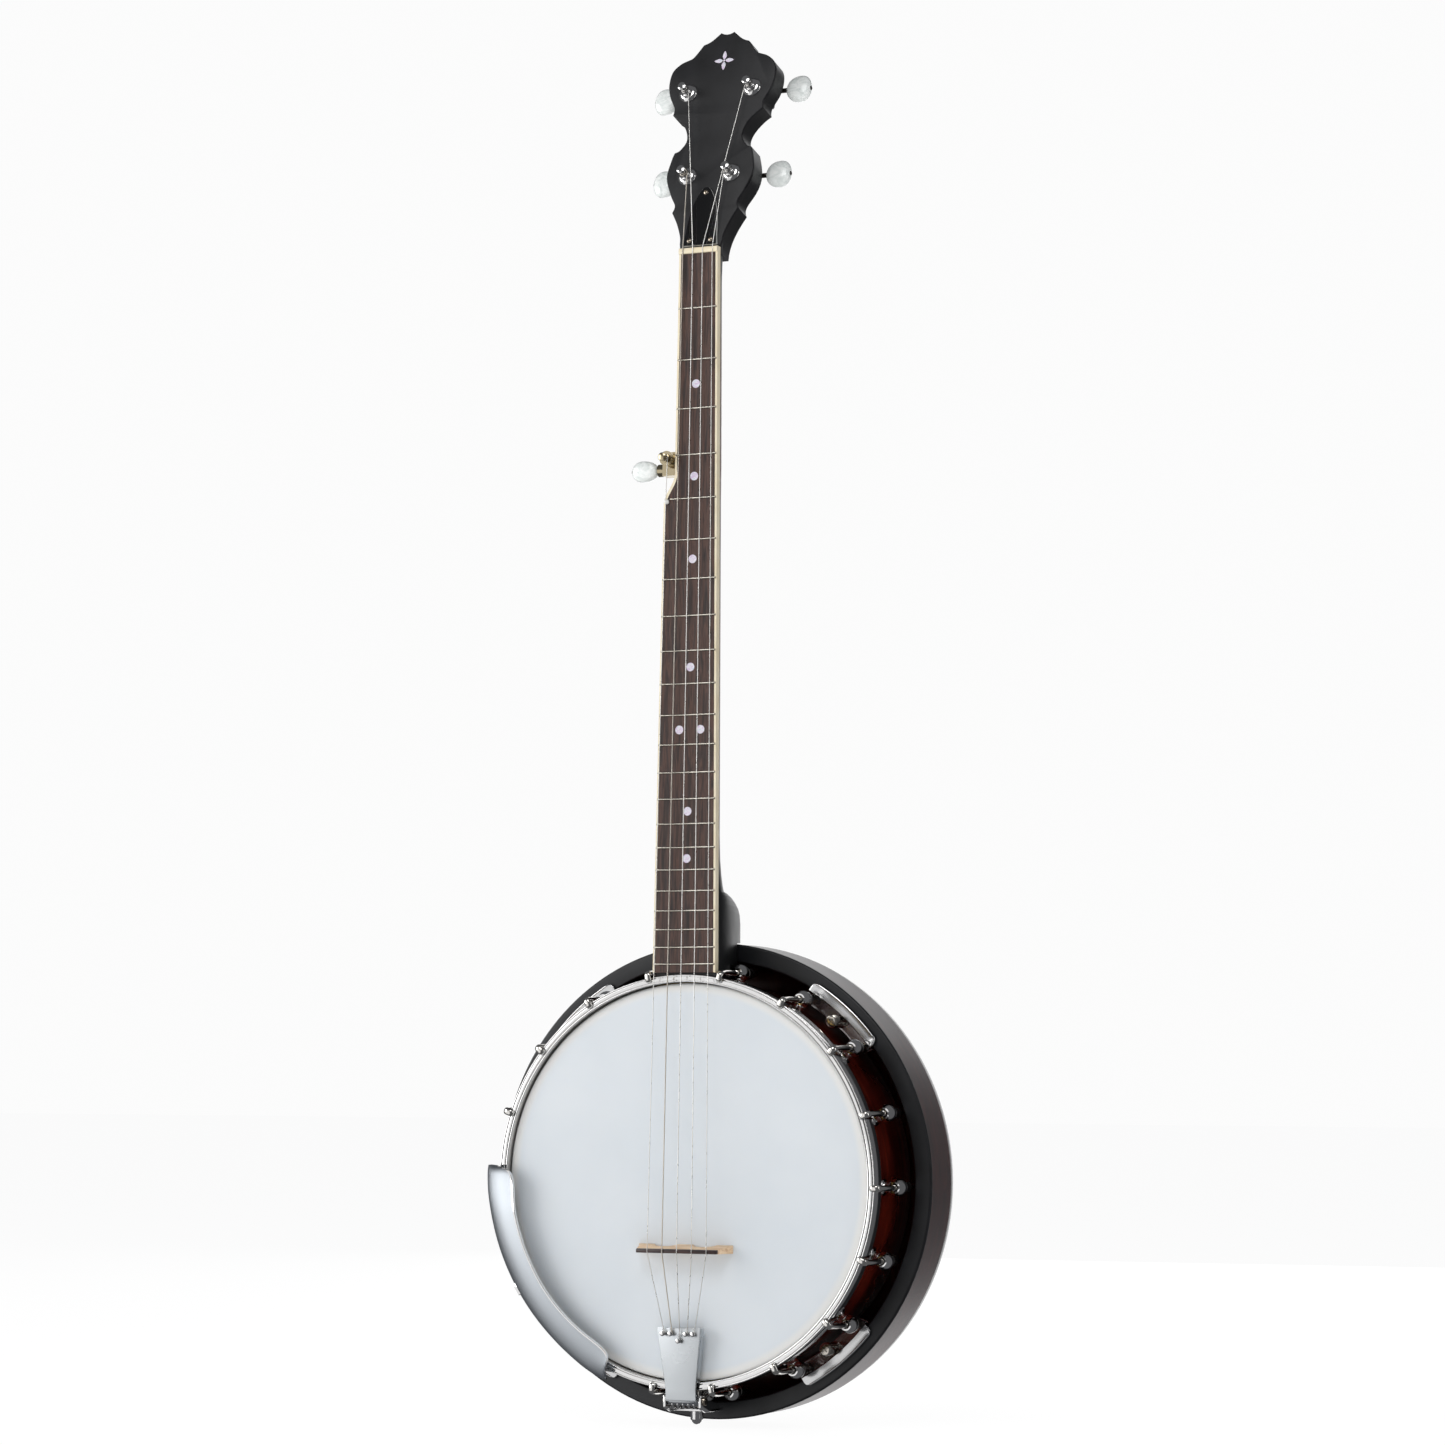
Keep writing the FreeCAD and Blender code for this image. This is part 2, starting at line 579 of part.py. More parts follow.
face = peghead_layer(-overlay, 0)
face_cuts = []
for x, y in POSTS:
    bore = Part.makeCylinder(5.0, 30, V(x, y, -25))
    bore.Placement = PEG
    face_cuts.append(bore)
nut_room = Part.makeBox(60, 40, 30, V(-30, -40 + dim.nut_thick, -15))
nut_room.Placement = NECK
truss_room = Part.makeBox(8, 20, 14, V(-4, 4.2, -14))
truss_room.Placement = NECK
keep(shaped("peghead_overlay", face.cut(face_cuts + [nut_room, truss_room])), "peghead_overlay")

# ---------------------------------------------------------------- fingerboard and what it carries
thick = dim.board_thick
dot_deep = 0.6


def along_fret(n):
    """Distance from the nut to a fret, each one a semitone down the scale."""
    return float(dim.scale_length) * (1 - 2 ** (-n / 12))


DOTS = [(n, 0) for n in (3, 5, 7, 10, 15, 17)] + [(12, -7.5), (12, 8.5)]
dot_solids = []
for fret, aside in DOTS:
    middle = -(along_fret(fret) + along_fret(fret - 1)) / 2
    dot = Part.makeCylinder(dim.dot_radius, dot_deep + 0.05, V(0.5 + aside, middle, -dot_deep))
    dot.Placement = NECK
    dot_solids.append(dot)
board = board_layer(board_outline(dim.binding_wide, board_end), -thick, 0)
whole = board_layer(board_outline(0, board_end), -thick, 0)
peg_well = Part.makeCylinder(4.3, 12, V(PEG5_X, PEG5_Y, PEG5_DEPTH), V(0, 0, 1))
binding = whole.cut([board, peg_well])
keep(shaped("fingerboard", in_frame(board, NECK).cut(dot_solids)), "fingerboard")
keep(shaped("binding", in_frame(binding, NECK)), "binding")
keep(shaped("position_dots", Part.makeCompound(dot_solids)), "position_dots")

pip_x = -19.9
frets = []
for n in range(1, int(dim.fret_count) + 1):
    along = along_fret(n)
    inset = 0.4
    left = left_edge(along) + inset if along > STEP_END else -dim.left_half + inset
    if n == 5:
        left = pip_x + 2.2
    right = right_edge(along) - inset
    crown = Part.makeCylinder(dim.fret_wide / 2, right - left, V(left, -along, 0), V(1, 0, 0))
    flat = Part.makeBox(right - left + 2, 4, 3, V(left - 1, -along - 2, -3))
    low = Part.makeBox(right - left + 2, 4, 3, V(left - 1, -along - 2, dim.fret_rise))
    fret_bar = crown.cut([flat, low])
    fret_bar.Placement = NECK
    frets.append(fret_bar)
keep(shaped("frets", Part.makeCompound(frets)), "frets")

nut_wide = dim.left_half + dim.right_half
nut_body = block("nut_body", at(NECK, (dim.right_half - dim.left_half) / 2, dim.nut_thick / 2, -thick),
                 nut_wide, dim.nut_thick, thick + dim.nut_rise)
keep(nut_body, "nut")
pip = rod("fifth_string_nut", at(NECK, pip_x, -PIP_ALONG - 1.3, 0.02), 1.7, 1.9)
keep(pip, "fifth_string_nut")
truss = rod("truss_bar", at(NECK, 0, truss_top - truss_length, truss_depth, LENGTHWAYS),
            truss_radius - 0.01, truss_length)
truss_nut = block("truss_nut", at(NECK, 0, truss_top + 0.05, truss_depth, LENGTHWAYS), 5, 5, 8)
keep(joined("truss_rod_whole", [truss, truss_nut]), "truss_rod")

cover_thick = 1.6
cover_low = 5.4
COVER_SIDE = [V(13.0, cover_low, 0), V(11.6, 14, 0), V(10.8, 26, 0), V(8.6, 37, 0), V(3.6, 47, 0)]
cover_curve = Part.BSplineCurve()
cover_curve.interpolate(COVER_SIDE)
cover_right = cover_curve.toShape()
cover_left = cover_right.mirror(V(0, 0, 0), V(1, 0, 0))
crown_arc = Part.Arc(V(3.6, 47, 0), V(0, 50.2, 0), V(-3.6, 47, 0)).toShape()
cover_foot = Part.makeLine(V(-13.0, cover_low, 0), V(13.0, cover_low, 0))
cover = Part.Face(Part.Wire(Part.__sortEdges__([cover_right, crown_arc, cover_left, cover_foot])))
cover = cover.extrude(V(0, 0, cover_thick)).translated(V(0, 0, 0.02))
COVER_SCREWS = [(0, 46), (-8.2, 9.3), (8.2, 9.3)]
screw_bores, screws = [], []
for x, y in COVER_SCREWS:
    screw_bores.append(Part.makeCylinder(1.1, 4, V(x, y, -0.5)))
    head = Part.makeSphere(1.9, V(x, y, cover_thick - 0.7))
    cap = head.cut(Part.makeBox(6, 6, 6, V(x - 3, y - 3, cover_thick - 6 + 0.02)))
    screws.append(cap.fuse(Part.makeCylinder(1.05, 1.6, V(x, y, 0.02))).removeSplitter())
keep(shaped("truss_rod_cover", in_frame(cover.cut(screw_bores), PEG)), "truss_rod_cover")
keep(shaped("cover_screws", in_frame(Part.makeCompound(screws), PEG)), "cover_screws")

# ---------------------------------------------------------------- tuners on the peghead
# A geared post stands through the wood; its worm lies across behind the peghead on the button's axle.
worm_depth = -overlay - dim.peghead_core - 4.6
gear_radius = 3.9
worm_radius = 2.2
gear_thick = 3.4
post_radius = 2.9
case_back = worm_depth - 4.4
case_front = -overlay - dim.peghead_core - 0.02
post_top = 12.5
post_fit = dim.running_fit


def turned_solid(points):
    """A turned shape about the z axis, for pieces that are set down several times."""
    corners = [V(r, 0, h) for r, h in points]
    ring = Part.makePolygon(corners + [corners[0]])
    return Part.Face(ring).revolve(V(0, 0, 0), V(0, 0, 1), 360)


bushing = turned_solid([(post_radius + post_fit, -9), (4.95, -9), (4.95, 0.02), (7.2, 0.02), (7.2, 0.9),
                        (5.6, 2.4), (post_radius + post_fit, 2.4)])
keep(shaped("tuner_bushings", Part.makeCompound([in_frame(bushing, PEG, x, y) for x, y in POSTS])),
     "tuner_bushings")

case_wide, case_high = 15, 19
axle = 1.7
case_middle = WORM_DROP / 2
BUTTON_OUT = {tuner_x[0]: 42.2, tuner_x[1]: 34.6}


def tuner_case(side):
    """A closed gear case with a mounting ear, bored for the post and for the button's axle."""
    box = Part.makeBox(case_wide, case_high, case_front - case_back,
                       V(-case_wide / 2, case_middle - case_high / 2, case_back))
    ear = Part.makeCylinder(3.4, 1.6, V(0, case_middle - case_high / 2 - 2.4, case_front - 1.6))
    room = Part.makeBox(case_wide - 2.4, case_high - 2.4, case_front - case_back - 2.4,
                        V(1.2 - case_wide / 2, case_middle - case_high / 2 + 1.2, case_back + 1.2))
    post_hole = Part.makeCylinder(post_radius + post_fit, 10, V(0, 0, case_front - 3))
    axle_hole = Part.makeCylinder(axle + post_fit, 12, V(0, WORM_DROP, worm_depth), V(side, 0, 0))
    ear_hole = Part.makeCylinder(1.3, 10, V(0, case_middle - case_high / 2 - 3.4, case_front - 5))
    return box.fuse(ear).cut([room, post_hole, axle_hole, ear_hole])


cases, ear_screws = [], []
ear_screw = turned_solid([(0, 0), (2.4, 0), (2.4, 0.5), (1.6, 1.3), (0, 1.3)])
for x, y in POSTS:
    side = 1 if x > 0 else -1
    cases.append(in_frame(tuner_case(side), PEG, x, y))
    ear_screws.append(in_frame(ear_screw, PEG, x, y + case_middle - case_high / 2 - 3.4,
                               case_front - 1.62, FreeCAD.Rotation(V(1, 0, 0), 180)))
keep(shaped("tuner_cases", Part.makeCompound(cases)), "tuner_cases")
keep(shaped("tuner_case_screws", Part.makeCompound(ear_screws)), "tuner_case_screws")

gear_low = worm_depth - gear_thick / 2
post_shape = turned_solid([
    (0, gear_low), (gear_radius, gear_low), (gear_radius, gear_low + gear_thick),
    (post_radius, gear_low + gear_thick), (post_radius, 3.2), (3.6, 3.4), (3.6, 4.2), (2.3, 5.4),
    (2.3, 8.6), (3.1, 10.8), (3.1, 12), (2.5, post_top), (0, post_top)])
string_hole = Part.makeCylinder(0.7, 12, V(0, -6, 7), V(0, 1, 0))
post_shape = post_shape.cut(string_hole)


def oval_grip(half_high, half_wide, thick):
    """A flat oval knob with well-rounded edges, long across the axle or along it."""
    tall = half_high > half_wide
    oval = Part.Ellipse(V(0, 0, 0), max(half_high, half_wide), min(half_high, half_wide))
    solid = Part.Face(Part.Wire([oval.toShape()])).extrude(V(0, 0, thick)).translated(V(0, 0, -thick / 2))
    solid = solid.makeFillet(0.45 * thick, [e for e in solid.Edges if e.BoundBox.ZLength < 0.1])
    if tall:
        solid.rotate(V(0, 0, 0), V(0, 0, 1), 90)
    return solid


def button_solid(reach, side):
    """The worm, its axle out through the case, the oval grip and the screw in its end."""
    worm = Part.makeCylinder(worm_radius, case_wide - 3.6, V(1.8 - case_wide / 2, 0, 0), V(1, 0, 0))
    shaft_long = reach - case_wide / 2 + 4
    shaft = Part.makeCylinder(axle, shaft_long, V(case_wide / 2 - 2.2, 0, 0), V(1, 0, 0))
    collar = Part.makeCylinder(3, 2.2, V(case_wide / 2 + 0.4, 0, 0), V(1, 0, 0))
    grip = oval_grip(10.6, 9.2, 9).translated(V(reach + 9.2, 0, 0))
    end_screw = Part.makeCylinder(1.6, 1.2, V(reach + 17.9, 0, 0), V(1, 0, 0))
    whole_button = worm.fuse([shaft, collar, grip, end_screw])
    if side < 0:
        whole_button = whole_button.mirror(V(0, 0, 0), V(1, 0, 0))
    return whole_button


for number, (x, y) in enumerate(POSTS, start=1):
    side = 1 if x > 0 else -1
    string_number = 5 - number
    keep(shaped(f"tuner_post_{string_number}", in_frame(post_shape, PEG, x, y)),
         f"tuner_post_{string_number}")
    reach = BUTTON_OUT[abs(x)] - abs(x)
    keep(shaped(f"tuner_button_{string_number}",
                in_frame(button_solid(reach, side), PEG, x, y + WORM_DROP, worm_depth)),
         f"tuner_button_{string_number}")

# ---------------------------------------------------------------- fifth-string peg, let into the neck's side
peg_case = Part.makeBox(15.5, 16.5, 9.4, V(-26.4, PEG5_Y - 11.1, PEG5_DEPTH - 4.6))
peg_sleeve = Part.makeCylinder(4.2, 7.2, V(PEG5_X, PEG5_Y, PEG5_DEPTH + 4.2), V(0, 0, 1))
peg_flange = Part.makeCylinder(5.2, 1.4, V(PEG5_X, PEG5_Y, 0.1), V(0, 0, 1))
peg_barrel = Part.makeCylinder(4.4, 5, V(-31, PEG5_Y - WORM_DROP, PEG5_DEPTH), V(1, 0, 0))
peg_room = Part.makeBox(13.1, 14.1, 7, V(-25.2, PEG5_Y - 9.9, PEG5_DEPTH - 3.4))
peg_bores = [Part.makeCylinder(2.5 + post_fit, 14, V(PEG5_X, PEG5_Y, PEG5_DEPTH), V(0, 0, 1)),
             Part.makeCylinder(axle + post_fit, 9, V(-32, PEG5_Y - WORM_DROP, PEG5_DEPTH), V(1, 0, 0))]
fifth_case = peg_case.fuse([peg_sleeve, peg_flange, peg_barrel]).cut([peg_room] + peg_bores)
keep(shaped("fifth_peg_case", in_frame(fifth_case, NECK)), "fifth_peg_case")
fifth_post = turned_solid([(0, -gear_thick / 2), (3.7, -gear_thick / 2), (3.7, gear_thick / 2),
                           (2.5, gear_thick / 2), (2.5, 12.2), (1.8, 13.2), (1.8, 16), (3, 17.6),
                           (3, 18.4), (2.4, 18.9), (0, 18.9)])
fifth_post = fifth_post.cut(Part.makeCylinder(0.6, 12, V(0, -6, 14.6), V(0, 1, 0)))
keep(shaped("tuner_post_5", in_frame(fifth_post, NECK, PEG5_X, PEG5_Y, PEG5_DEPTH)), "tuner_post_5")
fifth_worm = Part.makeCylinder(worm_radius, 9, V(-4.4, 0, 0), V(1, 0, 0))
fifth_shaft = Part.makeCylinder(axle, 14, V(-14.5, 0, 0), V(1, 0, 0))
fifth_grip = oval_grip(7.4, 9.8, 8.4).translated(V(-21.6, 0, 0))
fifth_screw = Part.makeCylinder(1.5, 1.2, V(-31.8, 0, 0), V(1, 0, 0))
fifth_button = fifth_worm.fuse([fifth_shaft, fifth_grip, fifth_screw])
keep(shaped("tuner_button_5", in_frame(fifth_button, NECK, PEG5_X + 0.6, PEG5_Y - WORM_DROP, PEG5_DEPTH)),
     "tuner_button_5")

# ---------------------------------------------------------------- bridge
bridge_up = -dim.bridge_drop
foot_rise = dim.bridge_rise - dim.saddle_rise
half_long = float(dim.bridge_length) / 2
foot_wide = 11
BRIDGE_FRONT = [(-half_long, 0), (-half_long + foot_wide, 0), (-half_long + foot_wide + 3, 5),
                (-foot_wide / 2 - 3, 5), (-foot_wide / 2, 0), (foot_wide / 2, 0), (foot_wide / 2 + 3, 5),
                (half_long - foot_wide - 3, 5), (half_long - foot_wide, 0), (half_long, 0),
                (half_long - 2.6, foot_rise), (-half_long + 2.6, foot_rise)]


def bridge_slab(points, back_thick, top_thick, low, high):
    """A slab that stands on the head, thicker at its feet than along its top."""
    ring = [V(x, -h, 0) for x, h in points]
    slab = Part.Face(Part.makePolygon(ring + [ring[0]])).extrude(V(0, 0, back_thick))
    slope = (back_thick - top_thick) / high
    wedge = Part.makePolygon([V(-50, -low, 0), V(-50, -low, back_thick - slope * low),
                              V(-50, -high, back_thick - slope * high), V(-50, -high, 0), V(-50, -low, 0)])
    return slab.common(Part.Face(wedge).extrude(V(100, 0, 0)))


top_thick = 2.4
foot_thick = 5.6
bridge_body = bridge_slab(BRIDGE_FRONT, foot_thick, top_thick, 0, float(dim.bridge_rise))
saddle_points = [(-half_long + 2.7, foot_rise + 0.02), (half_long - 2.7, foot_rise + 0.02),
                 (half_long - 3.2, dim.bridge_rise), (-half_long + 3.2, dim.bridge_rise)]
saddle = bridge_slab(saddle_points, foot_thick, top_thick, 0, float(dim.bridge_rise))
bridge_place = FreeCAD.Placement(V(0, -dim.head_front - 0.02, bridge_up - 2.6), UPRIGHT)
bridge_body.Placement = bridge_place
saddle.Placement = bridge_place
keep(shaped("bridge", bridge_body), "bridge")
keep(shaped("bridge_saddle", saddle), "bridge_saddle")

# ---------------------------------------------------------------- strings
wire = dim.string_radius
gauge = float(wire)
bridge_front = dim.head_front + dim.bridge_rise + 0.04 + gauge
BRIDGE_X = [-21.2, -10.1, 0.9, 11.9, 22.9]
NUT_X = [None, -11, -3.5, 4, 11.5]
TAIL_POSTS = [(-11.4, -101.5), (-5.6, -101.5), (0.2, -106.2), (5.8, -101.5), (11.2, -101.5)]
tail_front = dim.tail_front + dim.tail_metal
tail_post_rise = 4.2
pin_up = -dim.tail_pin_drop
pin_front = dim.tail_pin_front
# The tailpiece is drawn flat over the head and then leant forward about its pin.
TAIL = POT.multiply(FreeCAD.Placement(V(0, 0, 0), FreeCAD.Rotation(V(1, 0, 0), dim.tail_lean),
                                      V(0, pin_up, pin_front)))


def wire_along(label, points):
    """A taut string: straight runs that meet in a slightly fuller bend over the nut and the bridge."""
    runs = [Part.makeCylinder(gauge, (b - a).Length, a, b - a) for a, b in zip(points, points[1:])]
    bends = [Part.makeSphere(gauge * 1.04, point) for point in points[1:-1]]
    return shaped(label, runs[0].fuse(runs[1:] + bends))


def spot(base, x, y, z):
    return base.multVec(V(x, y, z))


string_lift = 1.9
for number, (bridge_x, tail) in enumerate(zip(BRIDGE_X, TAIL_POSTS)):
    over_bridge = [spot(POT, bridge_x, bridge_up, bridge_front),
                   spot(POT, bridge_x, bridge_up - 2.5, bridge_front),
                   spot(TAIL, tail[0], tail[1] + 2.2, tail_front + string_lift)]
    if number == 0:
        lead = [spot(NECK, PEG5_X + 2.6, PEG5_Y + 0.4, 4.6),
                spot(NECK, pip_x, -PIP_ALONG - 1.3, 1.96 + gauge)]
    else:
        x, y = POSTS[number - 1]
        inner = -1 if x > 0 else 1
        lead = [spot(PEG, x + inner * 3.2, y, 7), spot(NECK, NUT_X[number], dim.nut_thick,
                                                       dim.nut_rise + 0.02 + gauge),
                spot(NECK, NUT_X[number], 0, dim.nut_rise + 0.02 + gauge)]
    name = f"string_{5 - number}"
    keep(wire_along(name, lead + over_bridge), name)

# ---------------------------------------------------------------- coordinator rods
rod_end = -dim.rim_radius - 24
rods = [rod("rod_upper", at(POT, 0, rod_end, dim.rod_high, LENGTHWAYS), dim.rod_radius,
            rim_inner + 40 - rod_end),
        rod("rod_lower", at(POT, 0, -dim.rim_radius - 7, dim.rod_low, LENGTHWAYS), dim.rod_radius,
            rim_inner + 40 + dim.rim_radius + 7)]
keep(group("coordinator_rods", rods), "coordinator_rods")


def rod_nut(label, along, height, thick_nut):
    hexagon = doc.addObject("Part::Prism", label + "_hex")
    hexagon.Polygon = 6
    hexagon.Circumradius = 6.2
    hexagon.Height = thick_nut
    hexagon.Placement = at(POT, 0, along, height, LENGTHWAYS)
    bore = rod(label + "_bore", at(POT, 0, along - 1, height, LENGTHWAYS), dim.rod_radius, thick_nut + 2)
    return cut(label, hexagon, [bore])


inside_nuts = []
for row, height in enumerate((dim.rod_high, dim.rod_low)):
    inside_nuts.append(rod_nut(f"neck_nut_{row}", rim_inner - 7.2, height, 5))
    inside_nuts.append(rod_nut(f"tail_nut_{row}", -rim_inner + 2.2, height, 5))
inside_nuts.append(rod_nut("lower_outer_nut", -dim.rim_radius - 5.4, dim.rod_low, 4.5))
keep(group("rod_nuts", inside_nuts), "rod_nuts")

# ---------------------------------------------------------------- tailpiece
web_up = -155.5
ear_x = 13.2
ear_metal = 2
ears = []
for side in (-1, 1):
    ear = Part.makePolygon([V(0, web_up, 74), V(0, web_up, 96), V(0, pin_up - 4.6, 104),
                            V(0, pin_up + 3.6, 104), V(0, -143.2, 100), V(0, -143.2, 88),
                            V(0, web_up + 4, 74), V(0, web_up, 74)])
    ears.append(Part.Face(ear).extrude(V(ear_metal, 0, 0)).translated(
        V(side * ear_x - ear_metal / 2, 0, 0)))
web = Part.makeBox(2 * ear_x + ear_metal, 2, 20, V(-ear_x - ear_metal / 2, web_up, 68))
shelf_edge = -dim.rim_radius - 0.3
shelf = Part.makePolygon([V(-ear_x - 1, web_up, 72.5), V(ear_x + 1, web_up, 72.5),
                          V(9, shelf_edge, 72.5), V(-9, shelf_edge, 72.5),
                          V(-ear_x - 1, web_up, 72.5)])
shelf = Part.Face(shelf).extrude(V(0, 0, 2))
foot = Part.makeBox(18, 2, 13, V(-9, -dim.rim_radius - 2.3, 72.5))
bracket = web.fuse(ears + [shelf, foot])
pin_bore = Part.makeCylinder(1.9, 60, V(-30, pin_up, pin_front), V(1, 0, 0))
upper_bore = Part.makeCylinder(dim.rod_radius + 0.05, 40, V(0, web_up - 5, dim.rod_high), V(0, 1, 0))
bracket = bracket.cut([pin_bore, upper_bore]).removeSplitter()
keep(shaped("tailpiece_bracket", in_frame(bracket, POT)), "tailpiece_bracket")

pin = Part.makeCylinder(1.85, 2 * ear_x + 3.6, V(-ear_x - 1.8, pin_up, pin_front), V(1, 0, 0))
pin_heads = [Part.makeCylinder(3, 1.8, V(ear_x + 1.2, pin_up, pin_front), V(1, 0, 0)),
             Part.makeCylinder(2.6, 1.2, V(-ear_x - 2.4, pin_up, pin_front), V(1, 0, 0))]
keep(shaped("tailpiece_pin", in_frame(pin.fuse(pin_heads).removeSplitter(), POT)), "tailpiece_pin")

tail_low = dim.tail_front
TAIL_OUTLINE = [(-16.4, -97.6), (16.4, -97.6), (12, -134.5), (11.6, -139.5), (11.6, -146.5),
                (-11.6, -146.5), (-11.6, -139.5), (-12, -134.5)]
tail_ring = [V(x, y, tail_low) for x, y in TAIL_OUTLINE]
tail_plate = Part.Face(Part.makePolygon(tail_ring + [tail_ring[0]])).extrude(V(0, 0, dim.tail_metal))
flange_deep = 5
for side in (-1, 1):
    strip = [V(side * 16.4, -97.6, 0), V(side * 15, -97.6, 0), V(side * 10.6, -134.5, 0),
             V(side * 12, -134.5, 0)]
    flange = Part.Face(Part.makePolygon(strip + [strip[0]])).extrude(V(0, 0, flange_deep))
    tail_plate = tail_plate.fuse(flange.translated(V(0, 0, tail_low - flange_deep + 0.2)))
barrel = Part.makeCylinder(3.4, 23.2, V(-11.6, pin_up, pin_front), V(1, 0, 0))
knuckle = Part.makeBox(23.2, 3.6, 5.4, V(-11.6, -148.6, pin_front))
tail_plate = tail_plate.fuse([barrel, knuckle])
for tooth in range(5):
    x = -8.4 + 4.0 * tooth
    hook = Part.makeBox(1.8, 3.4, 7.5, V(x - 0.9, -153.2, pin_front - 3))
    link = Part.makeBox(1.8, 6, 2, V(x - 0.9, -153.2, pin_front + 0.8))
    tail_plate = tail_plate.fuse([hook, link])
for x, y in TAIL_POSTS:
    stem = Part.makeCylinder(0.9, tail_post_rise, V(x, y, tail_low + 0.5))
    cap = Part.makeCylinder(1.7, 1.0, V(x, y, tail_low + tail_post_rise - 0.4))
    tail_plate = tail_plate.fuse([stem, cap])
tail_plate = tail_plate.cut(Part.makeCylinder(1.85 + post_fit, 60, V(-30, pin_up, pin_front), V(1, 0, 0)))
keep(shaped("tailpiece_plate", in_frame(tail_plate.removeSplitter(), TAIL)), "tailpiece_plate")

acorn = turned_solid([(0, -9.4), (2.6, -7.6), (4.4, -6.4), (4.4, 0), (3.22, 0), (3.22, -4.4), (0, -4.4)])
keep(shaped("tailpiece_nut", in_frame(acorn, POT, 0, web_up - 0.05, dim.rod_high, LENGTHWAYS)),
     "tailpiece_nut")

# ---------------------------------------------------------------- armrest
# A curved cover over the hoop's lower left, on two posts that clamp to the hooks' shoes below it.
REST_START, REST_STOP = -86, -157
rest_back = 106.6
rest_rise = 4.4
outer_rim = 150
inner_rim = 125.2


def rest_ring(first, last, section):
    corners = [V(r, 0, h) for r, h in section]
    ring = Part.Face(Part.makePolygon(corners + [corners[0]]))
    swept = ring.revolve(V(0, 0, 0), V(0, 0, 1), abs(last - first))
    swept.Placement = POT.multiply(FreeCAD.Placement(V(0, 0, 0), FreeCAD.Rotation(V(0, 0, 1), 90 - first)))
    return swept


rest_shape = rest_ring(REST_START, REST_STOP, [
    (inner_rim, rest_back + rest_rise - 1), (inner_rim + 2, rest_back + rest_rise - 1),
    (140, rest_back + 2.6), (outer_rim - 1.5, rest_back - 1), (outer_rim - 1.5, rest_back - 5),
    (outer_rim, rest_back - 5), (outer_rim, rest_back + 0.4), (140, rest_back + 4.6),
    (inner_rim + 1, rest_back + rest_rise + 1), (inner_rim, rest_back + rest_rise + 0.8)])
keep(shaped("armrest", rest_shape), "armrest")
POST_ANGLES = [-101, -121]
rest_posts = []
for angle in POST_ANGLES:
    post_place = around(angle, 0, 0)
    leg = Part.makeBox(9, 2, 42, V(-4.5, 145.8, 62))
    toe = Part.makeBox(9, 14, 2, V(-4.5, 133.8, 62))
    lip_leg = Part.makeBox(9, 8, 1.6, V(-4.5, 139.8, rest_back - 2.9))
    clamp = leg.fuse([toe, lip_leg])
    clamp.Placement = post_place
    rest_posts.append(clamp.removeSplitter())
keep(shaped("armrest_clamps", Part.makeCompound(rest_posts)), "armrest_clamps")

# ---------------------------------------------------------------- check everything, then write it out
doc.recompute()
for thing in doc.Objects:
    for fault in ("Invalid", "Error"):
        if fault in thing.State:
            raise SystemExit(f"{thing.Label}: {thing.State}")
os.makedirs("parts", exist_ok=True)
for thing in PARTS:
    if thing.Shape.isNull() or not thing.Shape.isValid():
        raise SystemExit(f"{thing.Label}: its shape is not valid")
    thing.Shape.exportStep(f"parts/{thing.Label}.step")
print(len(PARTS), "nodes written")
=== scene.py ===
import math

import bmesh
import bpy
from mathutils import Matrix, Vector


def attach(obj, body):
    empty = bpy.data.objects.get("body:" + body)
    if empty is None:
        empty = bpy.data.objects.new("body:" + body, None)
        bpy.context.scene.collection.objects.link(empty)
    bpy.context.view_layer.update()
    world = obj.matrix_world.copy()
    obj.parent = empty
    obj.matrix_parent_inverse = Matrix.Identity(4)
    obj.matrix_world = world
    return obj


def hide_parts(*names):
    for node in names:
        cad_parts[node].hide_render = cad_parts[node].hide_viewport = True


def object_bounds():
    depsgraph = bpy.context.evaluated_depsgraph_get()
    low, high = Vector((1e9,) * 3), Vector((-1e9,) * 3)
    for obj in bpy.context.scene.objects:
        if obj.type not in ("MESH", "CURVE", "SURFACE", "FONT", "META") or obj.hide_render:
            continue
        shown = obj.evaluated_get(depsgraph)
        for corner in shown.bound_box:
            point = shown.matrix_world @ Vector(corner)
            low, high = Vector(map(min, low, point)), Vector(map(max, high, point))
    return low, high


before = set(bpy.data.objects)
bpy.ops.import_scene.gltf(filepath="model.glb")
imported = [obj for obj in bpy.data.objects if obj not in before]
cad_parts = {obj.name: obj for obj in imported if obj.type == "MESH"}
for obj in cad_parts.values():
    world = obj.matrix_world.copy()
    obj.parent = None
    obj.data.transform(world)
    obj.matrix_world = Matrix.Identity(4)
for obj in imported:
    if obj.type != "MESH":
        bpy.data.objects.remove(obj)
cad_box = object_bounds()

# ---------------------------------------------------------------- studio
# A pale sweep of floor under the banjo and five soft panels: a broad one on the left, a dim one ahead
# that the plated parts mirror, a tall strip on the right, one behind and one above.


def placed(name, data):
    """Puts a thing on the set under its name."""
    thing = bpy.data.objects.new(name, data)
    bpy.context.scene.collection.objects.link(thing)
    return thing


camera_place = (1.243418, -2.732834, 0.080412)
view_right = Vector((0.9078, 0.4193, 0.0042)).normalized()
view_back = Vector((0.4183, -0.9048, -0.0796)).normalized()
view_up = view_back.cross(view_right).normalized()
view_right = view_up.cross(view_back)
camera = placed("camera", bpy.data.cameras.new("camera"))
camera.data.lens = 106.2
camera.data.sensor_width = 36
camera.data.clip_end = 50
camera.matrix_world = Matrix.Translation(camera_place) @ Matrix(
    (view_right, view_up, view_back)).transposed().to_4x4()
bpy.context.scene.camera = camera
bpy.context.scene.view_settings.view_transform = "Standard"

